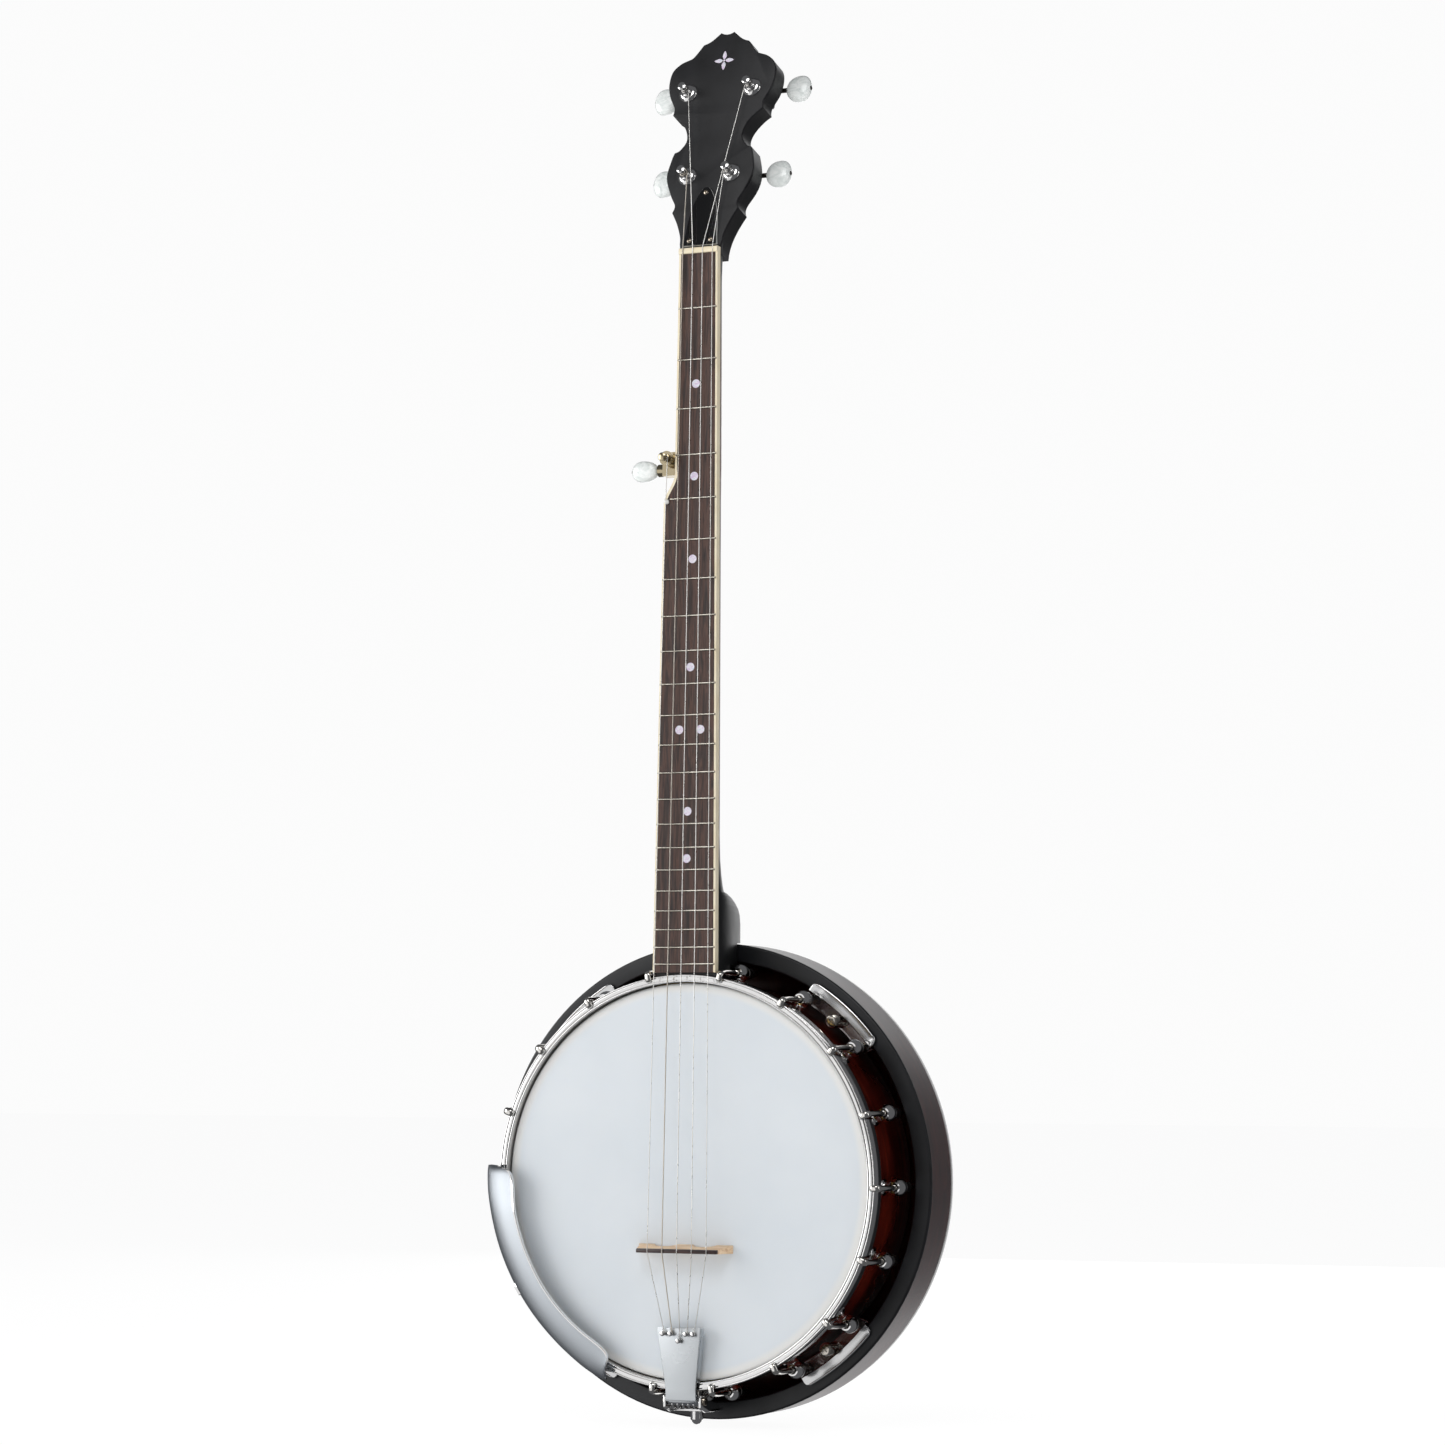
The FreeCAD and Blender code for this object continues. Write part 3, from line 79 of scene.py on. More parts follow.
world = bpy.data.worlds.new("studio")
bpy.context.scene.world = world
world.use_nodes = True
sky = world.node_tree
seen = sky.nodes.new("ShaderNodeLightPath")
backdrop = sky.nodes.new("ShaderNodeMix")
backdrop.data_type = "RGBA"
backdrop.inputs["A"].default_value = (0.11, 0.112, 0.118, 1)
backdrop.inputs["B"].default_value = (0.97, 0.97, 0.97, 1)
sky.links.new(seen.outputs["Is Camera Ray"], backdrop.inputs["Factor"])
sky.links.new(backdrop.outputs["Result"], sky.nodes["Background"].inputs["Color"])


def panel(name, place, aim, wide, high, power):
    """A soft light that the camera doesn't see."""
    lamp = bpy.data.lights.new(name, "AREA")
    lamp.shape = "RECTANGLE"
    lamp.size = wide
    lamp.size_y = high
    lamp.energy = power
    stand = placed(name, lamp)
    stand.location = place
    stand.rotation_euler = (Vector(aim) - Vector(place)).to_track_quat("-Z", "Y").to_euler()
    stand.visible_camera = False


panel("front_panel", (-2.7, -1.9, 0.9), (0, 0, 0.25), 2.0, 2.4, 54)
panel("fill_panel", (-1.7, -2.5, -0.3), (0, 0, 0), 3.2, 3.4, 28)
panel("strip_panel", (2.1, -0.7, 0.7), (0, 0, 0.2), 0.3, 2.0, 5)
panel("back_panel", (-0.3, 2.4, 0.1), (0, 0, 0.1), 1.9, 3.6, 24)
panel("top_panel", (0.3, -2.0, 2.0), (0, 0, 0.2), 1.4, 1.0, 18)

floor_reach, floor_gap = 14, 0.0015
sweep = bmesh.new()
bmesh.ops.create_grid(sweep, x_segments=8, y_segments=8, size=floor_reach)
bmesh.ops.translate(sweep, verts=sweep.verts, vec=(0, 0, cad_box[0][2] - floor_gap))
floor_mesh = bpy.data.meshes.new("floor")
sweep.to_mesh(floor_mesh)
sweep.free()
floor = placed("floor", floor_mesh)
paper = bpy.data.materials.new("paper")
paper.use_nodes = True
paper_shader = paper.node_tree.nodes["Principled BSDF"]
paper_shader.inputs["Base Color"].default_value = (0.08, 0.08, 0.08, 1)
paper_shader.inputs["Roughness"].default_value = 0.9
paper_shader.inputs["Emission Color"].default_value = (1, 1, 1, 1)
paper_shader.inputs["Emission Strength"].default_value = 0.94
floor_mesh.materials.append(paper)
floor.visible_glossy = False

# ---------------------------------------------------------------- resonator
# A shallow wooden bowl behind the pot: a flat pressed back with an eased edge, a bent side wall and a
# lip round its mouth. It is stained dark, lacquered outside and blacked within, and glued up in one.
# The pot's own directions: x to the right, y up the instrument, z forward, drawn in millimetres.
POT = Matrix.Rotation(math.radians(90), 4, "X") @ Matrix.Scale(0.001, 4)


def shade(red, green, blue, dimmed=1.0):
    """A colour as seen, from 0 to 255, in the light's own measure, and dimmed if asked."""
    return tuple(dimmed * (c / 255 / 12.92 if c < 10.3 else ((c / 255 + 0.055) / 1.055) ** 2.4)
                 for c in (red, green, blue)) + (1,)


def finish(name, roughness, metallic=0.0, coat=0.0, coat_roughness=0.05):
    """A bare surface, with or without a clear coat, to be coloured and worn."""
    material = bpy.data.materials.new(name)
    material.use_nodes = True
    shader = material.node_tree.nodes["Principled BSDF"]
    shader.inputs["Roughness"].default_value = roughness
    shader.inputs["Metallic"].default_value = metallic
    shader.inputs["Coat Weight"].default_value = coat
    shader.inputs["Coat Roughness"].default_value = coat_roughness
    return material


def pattern(material, scale, stretch=(1, 1, 1), detail=4.0, warp=0.0):
    """Noise that stands still in the piece, drawn out along the directions of the smaller stretches."""
    tree = material.node_tree
    place = tree.nodes.new("ShaderNodeTexCoord")
    draw = tree.nodes.new("ShaderNodeMapping")
    draw.inputs["Scale"].default_value = stretch
    noise = tree.nodes.new("ShaderNodeTexNoise")
    noise.inputs["Scale"].default_value = scale
    noise.inputs["Detail"].default_value = detail
    noise.inputs["Distortion"].default_value = warp
    tree.links.new(place.outputs["Object"], draw.inputs["Vector"])
    tree.links.new(draw.outputs["Vector"], noise.inputs["Vector"])
    return noise.outputs["Fac"]


def colours(material, value, stops):
    """Lays a run of colours over a pattern's values; a stop is a value, then a colour as seen."""
    tree = material.node_tree
    ramp = tree.nodes.new("ShaderNodeValToRGB")
    while len(ramp.color_ramp.elements) < len(stops):
        ramp.color_ramp.elements.new(0.5)
    for element, (position, *colour) in zip(ramp.color_ramp.elements, stops):
        element.position = position
        element.color = shade(*colour)
    tree.links.new(value, ramp.inputs["Fac"])
    tree.links.new(ramp.outputs["Color"], tree.nodes["Principled BSDF"].inputs["Base Color"])
    return ramp.outputs["Color"]


def spread(material, value, start, stop, low=0.0, high=1.0, gentle=False):
    """Maps the run of values from start to stop on to low to high, and holds them there beyond."""
    tree = material.node_tree
    span = tree.nodes.new("ShaderNodeMapRange")
    span.interpolation_type = "SMOOTHSTEP" if gentle else "LINEAR"
    for socket, number in (("From Min", start), ("From Max", stop), ("To Min", low), ("To Max", high)):
        span.inputs[socket].default_value = number
    tree.links.new(value, span.inputs["Value"])
    return span.outputs["Result"]


def wear(material, value, low, high):
    """Makes the surface shinier in some places than in others."""
    tree = material.node_tree
    tree.links.new(spread(material, value, 0.3, 0.7, low, high),
                   tree.nodes["Principled BSDF"].inputs["Roughness"])


def relief(material, value, depth, strength=1.0):
    """Raises and lowers the surface by about the depth, in metres."""
    tree = material.node_tree
    bump = tree.nodes.new("ShaderNodeBump")
    bump.inputs["Distance"].default_value = depth
    bump.inputs["Strength"].default_value = strength
    tree.links.new(value, bump.inputs["Height"])
    tree.links.new(bump.outputs["Normal"], tree.nodes["Principled BSDF"].inputs["Normal"])


def coordinates(material):
    """The piece's own x, y and z, each as a value."""
    tree = material.node_tree
    place = tree.nodes.new("ShaderNodeTexCoord")
    apart = tree.nodes.new("ShaderNodeSeparateXYZ")
    tree.links.new(place.outputs["Object"], apart.inputs["Vector"])
    return apart.outputs


def past_radius(material, inner, outer):
    """Rises gently from 0 to 1 between two distances from the pot's axis, in metres."""
    tree = material.node_tree
    parts = coordinates(material)
    flat = tree.nodes.new("ShaderNodeCombineXYZ")
    length = tree.nodes.new("ShaderNodeVectorMath")
    length.operation = "LENGTH"
    tree.links.new(parts["X"], flat.inputs["X"])
    tree.links.new(parts["Z"], flat.inputs["Y"])
    tree.links.new(flat.outputs["Vector"], length.inputs[0])
    return spread(material, length.outputs["Value"], inner, outer, gentle=True)


def mix_in(material, under, amount, over):
    """Lays a second colour over the first, by the amount."""
    tree = material.node_tree
    mix = tree.nodes.new("ShaderNodeMix")
    mix.data_type = "RGBA"
    mix.inputs["B"].default_value = over
    tree.links.new(amount, mix.inputs["Factor"])
    tree.links.new(under, mix.inputs["A"])
    tree.links.new(mix.outputs["Result"], tree.nodes["Principled BSDF"].inputs["Base Color"])


def lathe(section, steps=96, closed=True):
    """Turns a half section of (radius, height) about the height axis."""
    bm = bmesh.new()
    ring = [bm.verts.new((radius, 0, height)) for radius, height in section]
    edges = [bm.edges.new(pair) for pair in zip(ring, ring[1:])]
    if closed:
        edges.append(bm.edges.new((ring[-1], ring[0])))
    bmesh.ops.spin(bm, geom=ring + edges, cent=(0, 0, 0), axis=(0, 0, 1), dvec=(0, 0, 0),
                   angle=math.tau, steps=steps, use_merge=True)
    bmesh.ops.remove_doubles(bm, verts=bm.verts, dist=1e-5)
    bmesh.ops.recalc_face_normals(bm, faces=bm.faces)
    return bm


def eased(corner_r, corner_h, radius, start, stop, steps=6):
    """Points round a quarter turn about a centre, for an eased edge."""
    angles = [math.radians(start + (stop - start) * n / steps) for n in range(steps + 1)]
    return [(corner_r + radius * math.cos(a), corner_h + radius * math.sin(a)) for a in angles]


def set_down(name, bm, place, material, stands_for=(), body="root", crease=38):
    """Makes the shape an object at its place, shaded smooth but for edges sharper than the crease."""
    bm.transform(place)
    for face in bm.faces:
        face.smooth = True
    for edge in bm.edges:
        if len(edge.link_faces) == 2 and edge.calc_face_angle(0) > math.radians(crease):
            edge.smooth = False
    mesh = bpy.data.meshes.new(name)
    bm.to_mesh(mesh)
    bm.free()
    mesh.materials.append(material)
    piece = placed(name, mesh)
    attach(piece, body)
    if stands_for:
        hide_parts(*stands_for)
    return piece


def repaint(node, material):
    """Gives a CAD node the finish and nothing else."""
    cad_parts[node].data.materials.clear()
    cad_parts[node].data.materials.append(material)


side_stain = finish("side_stain", 0.34, coat=0.12, coat_roughness=0.3)
figure = pattern(side_stain, 46, (1, 5, 1), detail=7, warp=0.8)
colours(side_stain, figure, [(0.25, 18, 7, 8), (0.55, 46, 17, 17), (0.85, 70, 27, 22)])
wear(side_stain, pattern(side_stain, 9, detail=2), 0.30, 0.40)
back_stain = finish("back_stain", 0.3, coat=0.5, coat_roughness=0.12)
back_figure = pattern(back_stain, 28, (6, 1, 0.6), detail=8, warp=1.2)
back_colour = colours(back_stain, back_figure, [(0.2, 58, 20, 14), (0.5, 98, 36, 22),
                                                (0.8, 134, 56, 32)])
black_lacquer = finish("black_lacquer", 0.24, coat=0.4, coat_roughness=0.08)
colours(black_lacquer, pattern(black_lacquer, 30), [(0.3, 8, 8, 10), (0.7, 16, 15, 18)])
wear(black_lacquer, pattern(black_lacquer, 14, detail=3), 0.18, 0.30)
lip_satin = finish("lip_satin", 0.42)
colours(lip_satin, pattern(lip_satin, 60, (1, 4, 1)), [(0.3, 13, 14, 17), (0.7, 22, 23, 27)])
wear(lip_satin, pattern(lip_satin, 20), 0.40, 0.50)

# The back is shaded dark towards its edge, as a burst finish is sprayed.
mix_in(back_stain, back_colour, past_radius(back_stain, 0.085, 0.158), shade(26, 9, 9))

resonator_radius, wall, edge_radius = 162.7, 11.2, 22
mouth = resonator_radius - wall
inner_edge_radius, back_thickness, midway = 16, 6, 60
side_front, gap = 55, 0.02
back_section = [(0, 0), (midway, 0)]
back_section += eased(resonator_radius - edge_radius, edge_radius, edge_radius, -90, 0, 12)
back_section += [(mouth, edge_radius)]
back_section += eased(mouth - inner_edge_radius, edge_radius, inner_edge_radius, 0, -90, 10)[1:]
back_section += [(midway, back_thickness), (0, back_thickness)]
set_down("resonator_back_shell", lathe(back_section, 128, closed=False), POT, back_stain,
         ["resonator_back"])
side = lathe([(mouth, edge_radius + gap), (resonator_radius, edge_radius + gap),
              (resonator_radius, side_front - gap / 2), (mouth, side_front - gap / 2)], 160)
side_piece = set_down("resonator_side", side, POT, side_stain, ["resonator_sidewall"])
side_piece.data.materials.append(black_lacquer)
for face in side_piece.data.polygons:
    if math.hypot(face.center.x, face.center.z) < (mouth + 4) / 1000:
        face.material_index = 1
lip_in = mouth - 0.6
lip_out = resonator_radius + 0.4
lip_back = side_front + gap / 2
lip_section = [(lip_in, lip_back), (lip_out - 0.5, lip_back)] + eased(lip_out - 0.9, 56.0, 0.9, -60, 0, 3)
lip_section += eased(lip_out - 1.6, 56.4, 1.6, 0, 90, 6) + eased(lip_in + 1.2, 56.8, 1.2, 90, 180, 4)
set_down("resonator_lip_ring", lathe(lip_section, 160), POT, lip_satin, ["resonator_lip"])

# Four hardwood blocks stand inside the wall, drilled for the thumb screws.
lug_black = finish("lug_black", 0.55)
colours(lug_black, pattern(lug_black, 80, (1, 1, 4)), [(0.3, 20, 13, 11), (0.7, 34, 22, 18)])
wear(lug_black, pattern(lug_black, 120), 0.5, 0.65)
repaint("resonator_lugs", lug_black)

# ---------------------------------------------------------------- rim and tone ring
# The pot's laminated wooden ring, stained red and lacquered, with its grain running round it. A steel
# ring lies along its front edge under the head, and its bolt holes are covered by the round shoes.
rim_red = finish("rim_red", 0.28, coat=0.6, coat_roughness=0.1)
rim_grain = pattern(rim_red, 22, (1, 9, 1), detail=8, warp=1.5)
colours(rim_red, rim_grain, [(0.2, 38, 9, 7), (0.5, 84, 22, 13), (0.8, 128, 44, 24)])
wear(rim_red, pattern(rim_red, 12), 0.22, 0.34)
relief(rim_red, rim_grain, 0.00012, 0.4)
rim_out, rim_in = 133.5, 115
rim_section = [(rim_in + 1, 22), (rim_out - 1.2, 22)] + eased(rim_out - 1.2, 23.2, 1.2, -90, 0, 3)
rim_section += [(rim_out, 91.4), (rim_out - 0.6, 92), (rim_in + 1, 92), (rim_in, 91), (rim_in, 23)]
set_down("rim_ring", lathe(rim_section, 128), POT, rim_red, ["rim"])


def plated(name, tint, low, high, smudge=26):
    """Plated metal: a little duller where it has been handled, with a trace of polishing marks."""
    metal = finish(name, (low + high) / 2, metallic=1.0)
    handled = pattern(metal, smudge, detail=3)
    colours(metal, handled, [(0.3, *tint, 0.93), (0.7, *tint)])
    wear(metal, handled, low, high)
    relief(metal, pattern(metal, 900, detail=2), 0.000004, 0.25)
    return metal


chrome = plated("chrome_plate", (236, 235, 234), 0.05, 0.13)
repaint("tone_ring", chrome)

# ---------------------------------------------------------------- drum head
# A milky plastic film, pulled over the ring and down its side. Its face carries a sprayed frosting,
# thinner towards the rim, where the light comes through warm.


def let_light_in(material, weight, reach):
    """Lets light some way into the stuff; the reach is for red, green and blue, in metres."""
    shader = material.node_tree.nodes["Principled BSDF"]
    shader.inputs["Subsurface Weight"].default_value = weight
    shader.inputs["Subsurface Radius"].default_value = reach


film = finish("head_frosting", 0.5)
speckle = pattern(film, 2600, detail=2)
cloud = pattern(film, 14, detail=3)
frosting = colours(film, cloud, [(0.3, 212, 218, 223), (0.7, 219, 224, 228)])
mix_in(film, frosting, past_radius(film, 0.1265, 0.1315), shade(228, 228, 226))
wear(film, pattern(film, 30), 0.44, 0.56)
relief(film, speckle, 0.00005, 0.35)
let_light_in(film, 0.25, (0.002, 0.0018, 0.0016))
head_section = [(0, 98.4), (132.6, 98.4), (134.0, 97.0), (134.0, 86.2), (134.55, 86.2), (134.55, 97.2)]
head_section += eased(132.6, 97.05, 1.95, 0, 90, 5)[1:] + [(128, 99), (60, 99), (0, 99)]
set_down("head_film", lathe(head_section, 160, closed=False), POT, film, ["drum_head"])

# ---------------------------------------------------------------- hoops
# The flesh hoop is a square brass wire that holds the film's edge. The plated tension hoop bears on it
# from in front, and its face has a pair of turned grooves.
rolled_brass = plated("rolled_brass", (200, 168, 98), 0.22, 0.34)
flesh_in = 134.65
flesh = lathe([(flesh_in, 86.2), (flesh_in + 3.6, 86.2), (flesh_in + 3.6, 90.58), (flesh_in, 90.58)], 128)
sharp = [e for e in flesh.edges if e.calc_face_angle(0) > 1]
bmesh.ops.bevel(flesh, geom=sharp, offset=0.5, segments=2, profile=0.5, affect="EDGES", material=-1)
set_down("flesh_hoop_wire", flesh, POT, rolled_brass, ["flesh_hoop"])
hoop_in, hoop_out, hoop_back, hoop_top = 135.3, 140.5, 90.6, 103.5
hoop_section = [(hoop_in + 0.4, hoop_back), (hoop_out - 0.5, hoop_back), (hoop_out, hoop_back + 0.5)]
hoop_section += eased(hoop_out - 0.45, hoop_top - 0.45, 0.45, 0, 90, 3)
for groove_out, groove_in in ((139.7, 139.0), (136.9, 136.2)):
    hoop_section += eased(groove_out + 0.1, hoop_top - 0.1, 0.1, 90, 180, 2)
    hoop_section += [(groove_out, hoop_top - 2.2), (groove_in, hoop_top - 2.2)]
    hoop_section += eased(groove_in - 0.1, hoop_top - 0.1, 0.1, 0, 90, 2)
hoop_section += eased(hoop_in + 0.45, hoop_top - 0.45, 0.45, 90, 180, 3) + [(hoop_in, hoop_back + 0.4)]
set_down("tension_hoop_ring", lathe(hoop_section, 192), POT, chrome, ["tension_hoop"])

# ---------------------------------------------------------------- hooks, shoes and nuts
# Eighteen round hooks reach over the hoop, each drawn back by a nut through a ball-shaped cast shoe
# that is bolted to the rim. The hook is flattened where it bears on the hoop.


def bar(path, sizes, sides=12, caps=True):
    """A rod that follows a line of points; each size is its half width and half thickness there."""
    bm = bmesh.new()
    points = [Vector(p) for p in path]
    if not isinstance(sizes, list):
        sizes = [sizes] * len(points)
    sizes = [s if isinstance(s, tuple) else (s, s) for s in sizes]
    heading = (points[1] - points[0]).normalized()
    turn = heading.to_track_quat("Z", "Y")
    ring = bmesh.ops.create_circle(bm, cap_ends=caps, segments=sides, radius=1.0)["verts"]
    last = Matrix.Translation(points[0]) @ turn.to_matrix().to_4x4() @ Matrix.Diagonal((*sizes[0], 1, 1))
    bmesh.ops.transform(bm, matrix=last, verts=ring)
    edges = list({e for v in ring for e in v.link_edges})
    for n in range(1, len(points)):
        before = (points[n] - points[n - 1]).normalized()
        after = (points[min(n + 1, len(points) - 1)] - points[n]).normalized() or before
        along = (before + after).normalized()
        turn = heading.rotation_difference(along) @ turn
        heading = along
        now = Matrix.Translation(points[n]) @ turn.to_matrix().to_4x4() @ Matrix.Diagonal((*sizes[n], 1, 1))
        grown = bmesh.ops.extrude_edge_only(bm, edges=edges)["geom"]
        ring = [g for g in grown if isinstance(g, bmesh.types.BMVert)]
        edges = [g for g in grown if isinstance(g, bmesh.types.BMEdge) and all(v in ring for v in g.verts)]
        bmesh.ops.transform(bm, matrix=now @ last.inverted(), verts=ring)
        last = now
    if caps:
        bmesh.ops.contextual_create(bm, geom=edges)
    bmesh.ops.recalc_face_normals(bm, faces=bm.faces)
    return bm


def gather(*shapes):
    """Several shapes in one, each still closed by itself."""
    whole = bmesh.new()
    for shape in shapes:
        held = bpy.data.meshes.new("held")
        shape.to_mesh(held)
        shape.free()
        whole.from_mesh(held)
        bpy.data.meshes.remove(held)
    return whole


def repeat(shape, places):
    """The same shape set down at each of the places, in one mesh."""
    held = bpy.data.meshes.new("held")
    shape.to_mesh(held)
    shape.free()
    whole = bmesh.new()
    for place in places:
        moved = held.copy()
        moved.transform(place)
        whole.from_mesh(moved)
        bpy.data.meshes.remove(moved)
    bpy.data.meshes.remove(held)
    return whole


def moved(shape, move):
    """Shifts the shape."""
    shape.transform(Matrix.Translation(move))
    return shape


def turned_about(shape, axis, degrees, move=(0, 0, 0)):
    """Turns the shape about one of its axes, then shifts it."""
    shape.transform(Matrix.Translation(move) @ Matrix.Rotation(math.radians(degrees), 4, axis))
    return shape


def around(angle):
    """The turn from the neck's side to an angle round the pot, clockwise from in front."""
    return Matrix.Rotation(math.radians(-angle), 4, "Z")


HOOK_PLACES = [around(side * (11 + 20 * n)) for side in (1, -1) for n in range(9)]
hook_circle = 144.3
hook_path = [(0, hook_circle, height) for height in (47, 94, 98, 101.6)]
hook_path += [(0, r, h) for r, h in eased(142.0, 103.0, 2.3, 0, 90, 6)]
hook_path += [(0, r, h) for r, h in eased(140.0, 103.3, 2.0, 90, 180, 6)]
hook_path += [(0, 138.0, 101.2)]
hook_sizes = [2.05, 2.05, (1.9, 1.7), (2.1, 1.25)] + [(2.3, 1.15)] * 14 + [(2.1, 1.0)]
hook = bar(hook_path, hook_sizes, sides=12)
hook_steel = plated("hook_plate", (232, 229, 224), 0.08, 0.18, 60)
set_down("hook_set", repeat(hook, HOOK_PLACES), POT, hook_steel, ["bracket_hooks"], crease=50)

shoe_ball = lathe([(2.3, 77.4), (2.9, 78.0), (3.9, 77.9), (4.15, 77.2), (5.0, 75.8), (5.8, 74.2), (6.2, 72.2),
                   (6.05, 70.2), (5.4, 68.4), (4.4, 67.0), (4.2, 66.0), (2.3, 65.9), (2.3, 72)], 28)
shoe_ball = moved(shoe_ball, (0, hook_circle, 0))
shoe_stem = lathe([(0, 0.1), (5.6, 0.1), (5.6, 1.2), (5.1, 1.75), (4.1, 2.0), (3.7, 3.0), (3.8, 4.6),
                   (4.6, 6.4), (0, 6.6)], 24, closed=False)
shoe_stem = turned_about(shoe_stem, "X", -90, (0, rim_out, 72))
set_down("shoe_set", repeat(gather(shoe_ball, shoe_stem), HOOK_PLACES), POT, chrome,
         ["bracket_shoes"], crease=50)

nut = bmesh.new()
bmesh.ops.create_cone(nut, cap_ends=True, segments=6, radius1=3.9, radius2=3.9, depth=9.0)
bmesh.ops.translate(nut, verts=nut.verts, vec=(0, hook_circle, 59.6))
bmesh.ops.bevel(nut, geom=list(nut.edges), offset=0.35, segments=2, profile=0.5, affect="EDGES", material=-1)
collar = lathe([(2.2, 64.2), (4.3, 64.2), (4.5, 64.6), (4.4, 65.4), (4.0, 65.7), (2.2, 65.7)], 24)
collar = moved(collar, (0, hook_circle, 0))
zinc = plated("zinc_plate", (170, 168, 164), 0.2, 0.34, 80)
set_down("nut_set", repeat(gather(nut, collar), HOOK_PLACES), POT, zinc, ["hook_nuts"])
for inside in ("shoe_screws", "coordinator_rods", "rod_nuts", "truss_rod"):
    repaint(inside, zinc)

# ---------------------------------------------------------------- flange plates and thumb screws
# Four pressed plates lie on the resonator's lip, step down inside it and are held under two hook nuts
# each. A knurled thumb screw through each plate clamps the resonator to the pot.


def smooth_line(corners, steps=6, closed=False):
    """Points on an easy curve through the corners."""
    pts = [Vector(c) for c in corners]
    count = len(pts)
    made = []
    for n in range(count if closed else count - 1):
        if closed:
            a, b, c, d = (pts[(n + k) % count] for k in (-1, 0, 1, 2))
        else:
            a, b, c, d = pts[max(n - 1, 0)], pts[n], pts[n + 1], pts[min(n + 2, count - 1)]
        for k in range(steps):
            t = k / steps
            made.append(0.5 * ((2 * b) + (c - a) * t + (2 * a - 5 * b + 4 * c - d) * t * t
                               + (3 * b - a - 3 * c + d) * t ** 3))
    if not closed:
        made.append(pts[-1])
    return made


# Across the plate, from the hoop side to its outer rim: radius, height and how far its ends run.
PLATE_LINE = [(139.4, 50.75, 0.86), (141, 50.75, 0.93), (147.6, 50.75, 1.0), (148.9, 51.0, 1.0),
              (149.5, 51.9, 1.0), (149.7, 56.6, 1.0), (149.9, 58.2, 1.0), (150.4, 58.9, 1.0),
              (153.2, 58.93, 0.99), (155.4, 58.95, 0.96), (156.2, 59.1, 0.93), (156.7, 59.6, 0.9),
              (157.0, 60.1, 0.88)]
plate_half = math.radians(11.6)
plate_bm = bmesh.new()
line = [plate_bm.verts.new((0, radius, height)) for radius, height, reach in PLATE_LINE]
line += [plate_bm.edges.new(pair) for pair in zip(line, line[1:])]
bmesh.ops.rotate(plate_bm, verts=plate_bm.verts, cent=(0, 0, 0), matrix=Matrix.Rotation(-plate_half, 3, "Z"))
bmesh.ops.spin(plate_bm, geom=line, cent=(0, 0, 0), axis=(0, 0, 1), dvec=(0, 0, 0), angle=2 * plate_half,
               steps=28)
bmesh.ops.remove_doubles(plate_bm, verts=plate_bm.verts, dist=1e-4)
for vert in plate_bm.verts:
    out = vert.co.xy.length
    reach = min(PLATE_LINE, key=lambda p: abs(p[0] - out) + abs(p[1] - vert.co.z))[2]
    turn = math.atan2(vert.co.x, vert.co.y) * reach
    vert.co.xy = (out * math.sin(turn), out * math.cos(turn))
bmesh.ops.recalc_face_normals(plate_bm, faces=plate_bm.faces)
bmesh.ops.solidify(plate_bm, geom=plate_bm.faces, thickness=1.3)
bmesh.ops.recalc_face_normals(plate_bm, faces=plate_bm.faces)
rims = [e for e in plate_bm.edges if e.calc_face_angle(0) > 1.2]
bmesh.ops.bevel(plate_bm, geom=rims, offset=0.35, segments=2, profile=0.5, affect="EDGES", material=-1)
PLATE_ANGLES = (41, 141, -141, -41)
plate_places = [around(angle) for angle in PLATE_ANGLES]
plate_chrome = plated("plate_chrome", (216, 216, 216), 0.14, 0.24)
set_down("flange_plate_set", repeat(plate_bm, plate_places), POT, plate_chrome, ["flange_plates"],
         crease=50)


def scribe(bm, place, across):
    """Cuts a line round the shape, where a plane meets it, without parting it."""
    bmesh.ops.bisect_plane(bm, geom=bm.verts[:] + bm.edges[:] + bm.faces[:], plane_co=place, plane_no=across)


def cross_lines(bm, half):
    """Marks out a cross slot of the half width about the shape's axis."""
    for across in (Vector((1, 0, 0)), Vector((0, 1, 0))):
        for side in (-half, half):
            scribe(bm, across * side, across)


def sink(bm, faces, depth):
    """Presses the faces straight back, with walls left standing round them."""
    grown = bmesh.ops.extrude_face_region(bm, geom=faces)["geom"]
    bmesh.ops.delete(bm, geom=faces, context="FACES_ONLY")
    bmesh.ops.translate(bm, vec=(0, 0, -depth), verts=[g for g in grown if isinstance(g, bmesh.types.BMVert)])


screw_seat, head_rise, slot_half = 51.6, 19, 0.45
thumb_nickel = plated("thumb_nickel", (206, 200, 190), 0.1, 0.2, 120)
for number, angle in enumerate(PLATE_ANGLES, start=1):
    shank = [(0, 35), (2.1, 35), (2.6, 35.8), (2.6, screw_seat)]
    head = [(4.6, 0), (4.6, 1.2), (3.9, 1.8), (3.3, 2.6), (3.2, 11.5), (3.7, 12.3), (4.55, 12.9), (4.6, 13.6),
            (4.6, 17.6), (4.3, 18.5), (3.4, 18.95), (2.2, head_rise), (0, head_rise)]
    post = lathe(shank + [(radius, screw_seat + rise) for radius, rise in head], 36, closed=False)
    # The cross slot is pressed into the screw's end.
    cross_lines(post, slot_half)
    slot_faces = []
    for face in post.faces:
        x, y, z = face.calc_center_median()
        if z > screw_seat + head_rise - 0.03 and math.hypot(x, y) < 2.2 and min(abs(x), abs(y)) < slot_half:
            slot_faces.append(face)
    sink(post, slot_faces, 1.1)
    place = POT @ around(angle) @ Matrix.Translation((0, 144.2, 0))
    set_down(f"thumb_post_{number}", post, place, thumb_nickel, [f"thumb_screw_{number}"],
             f"thumb_screw_{number}", crease=40)

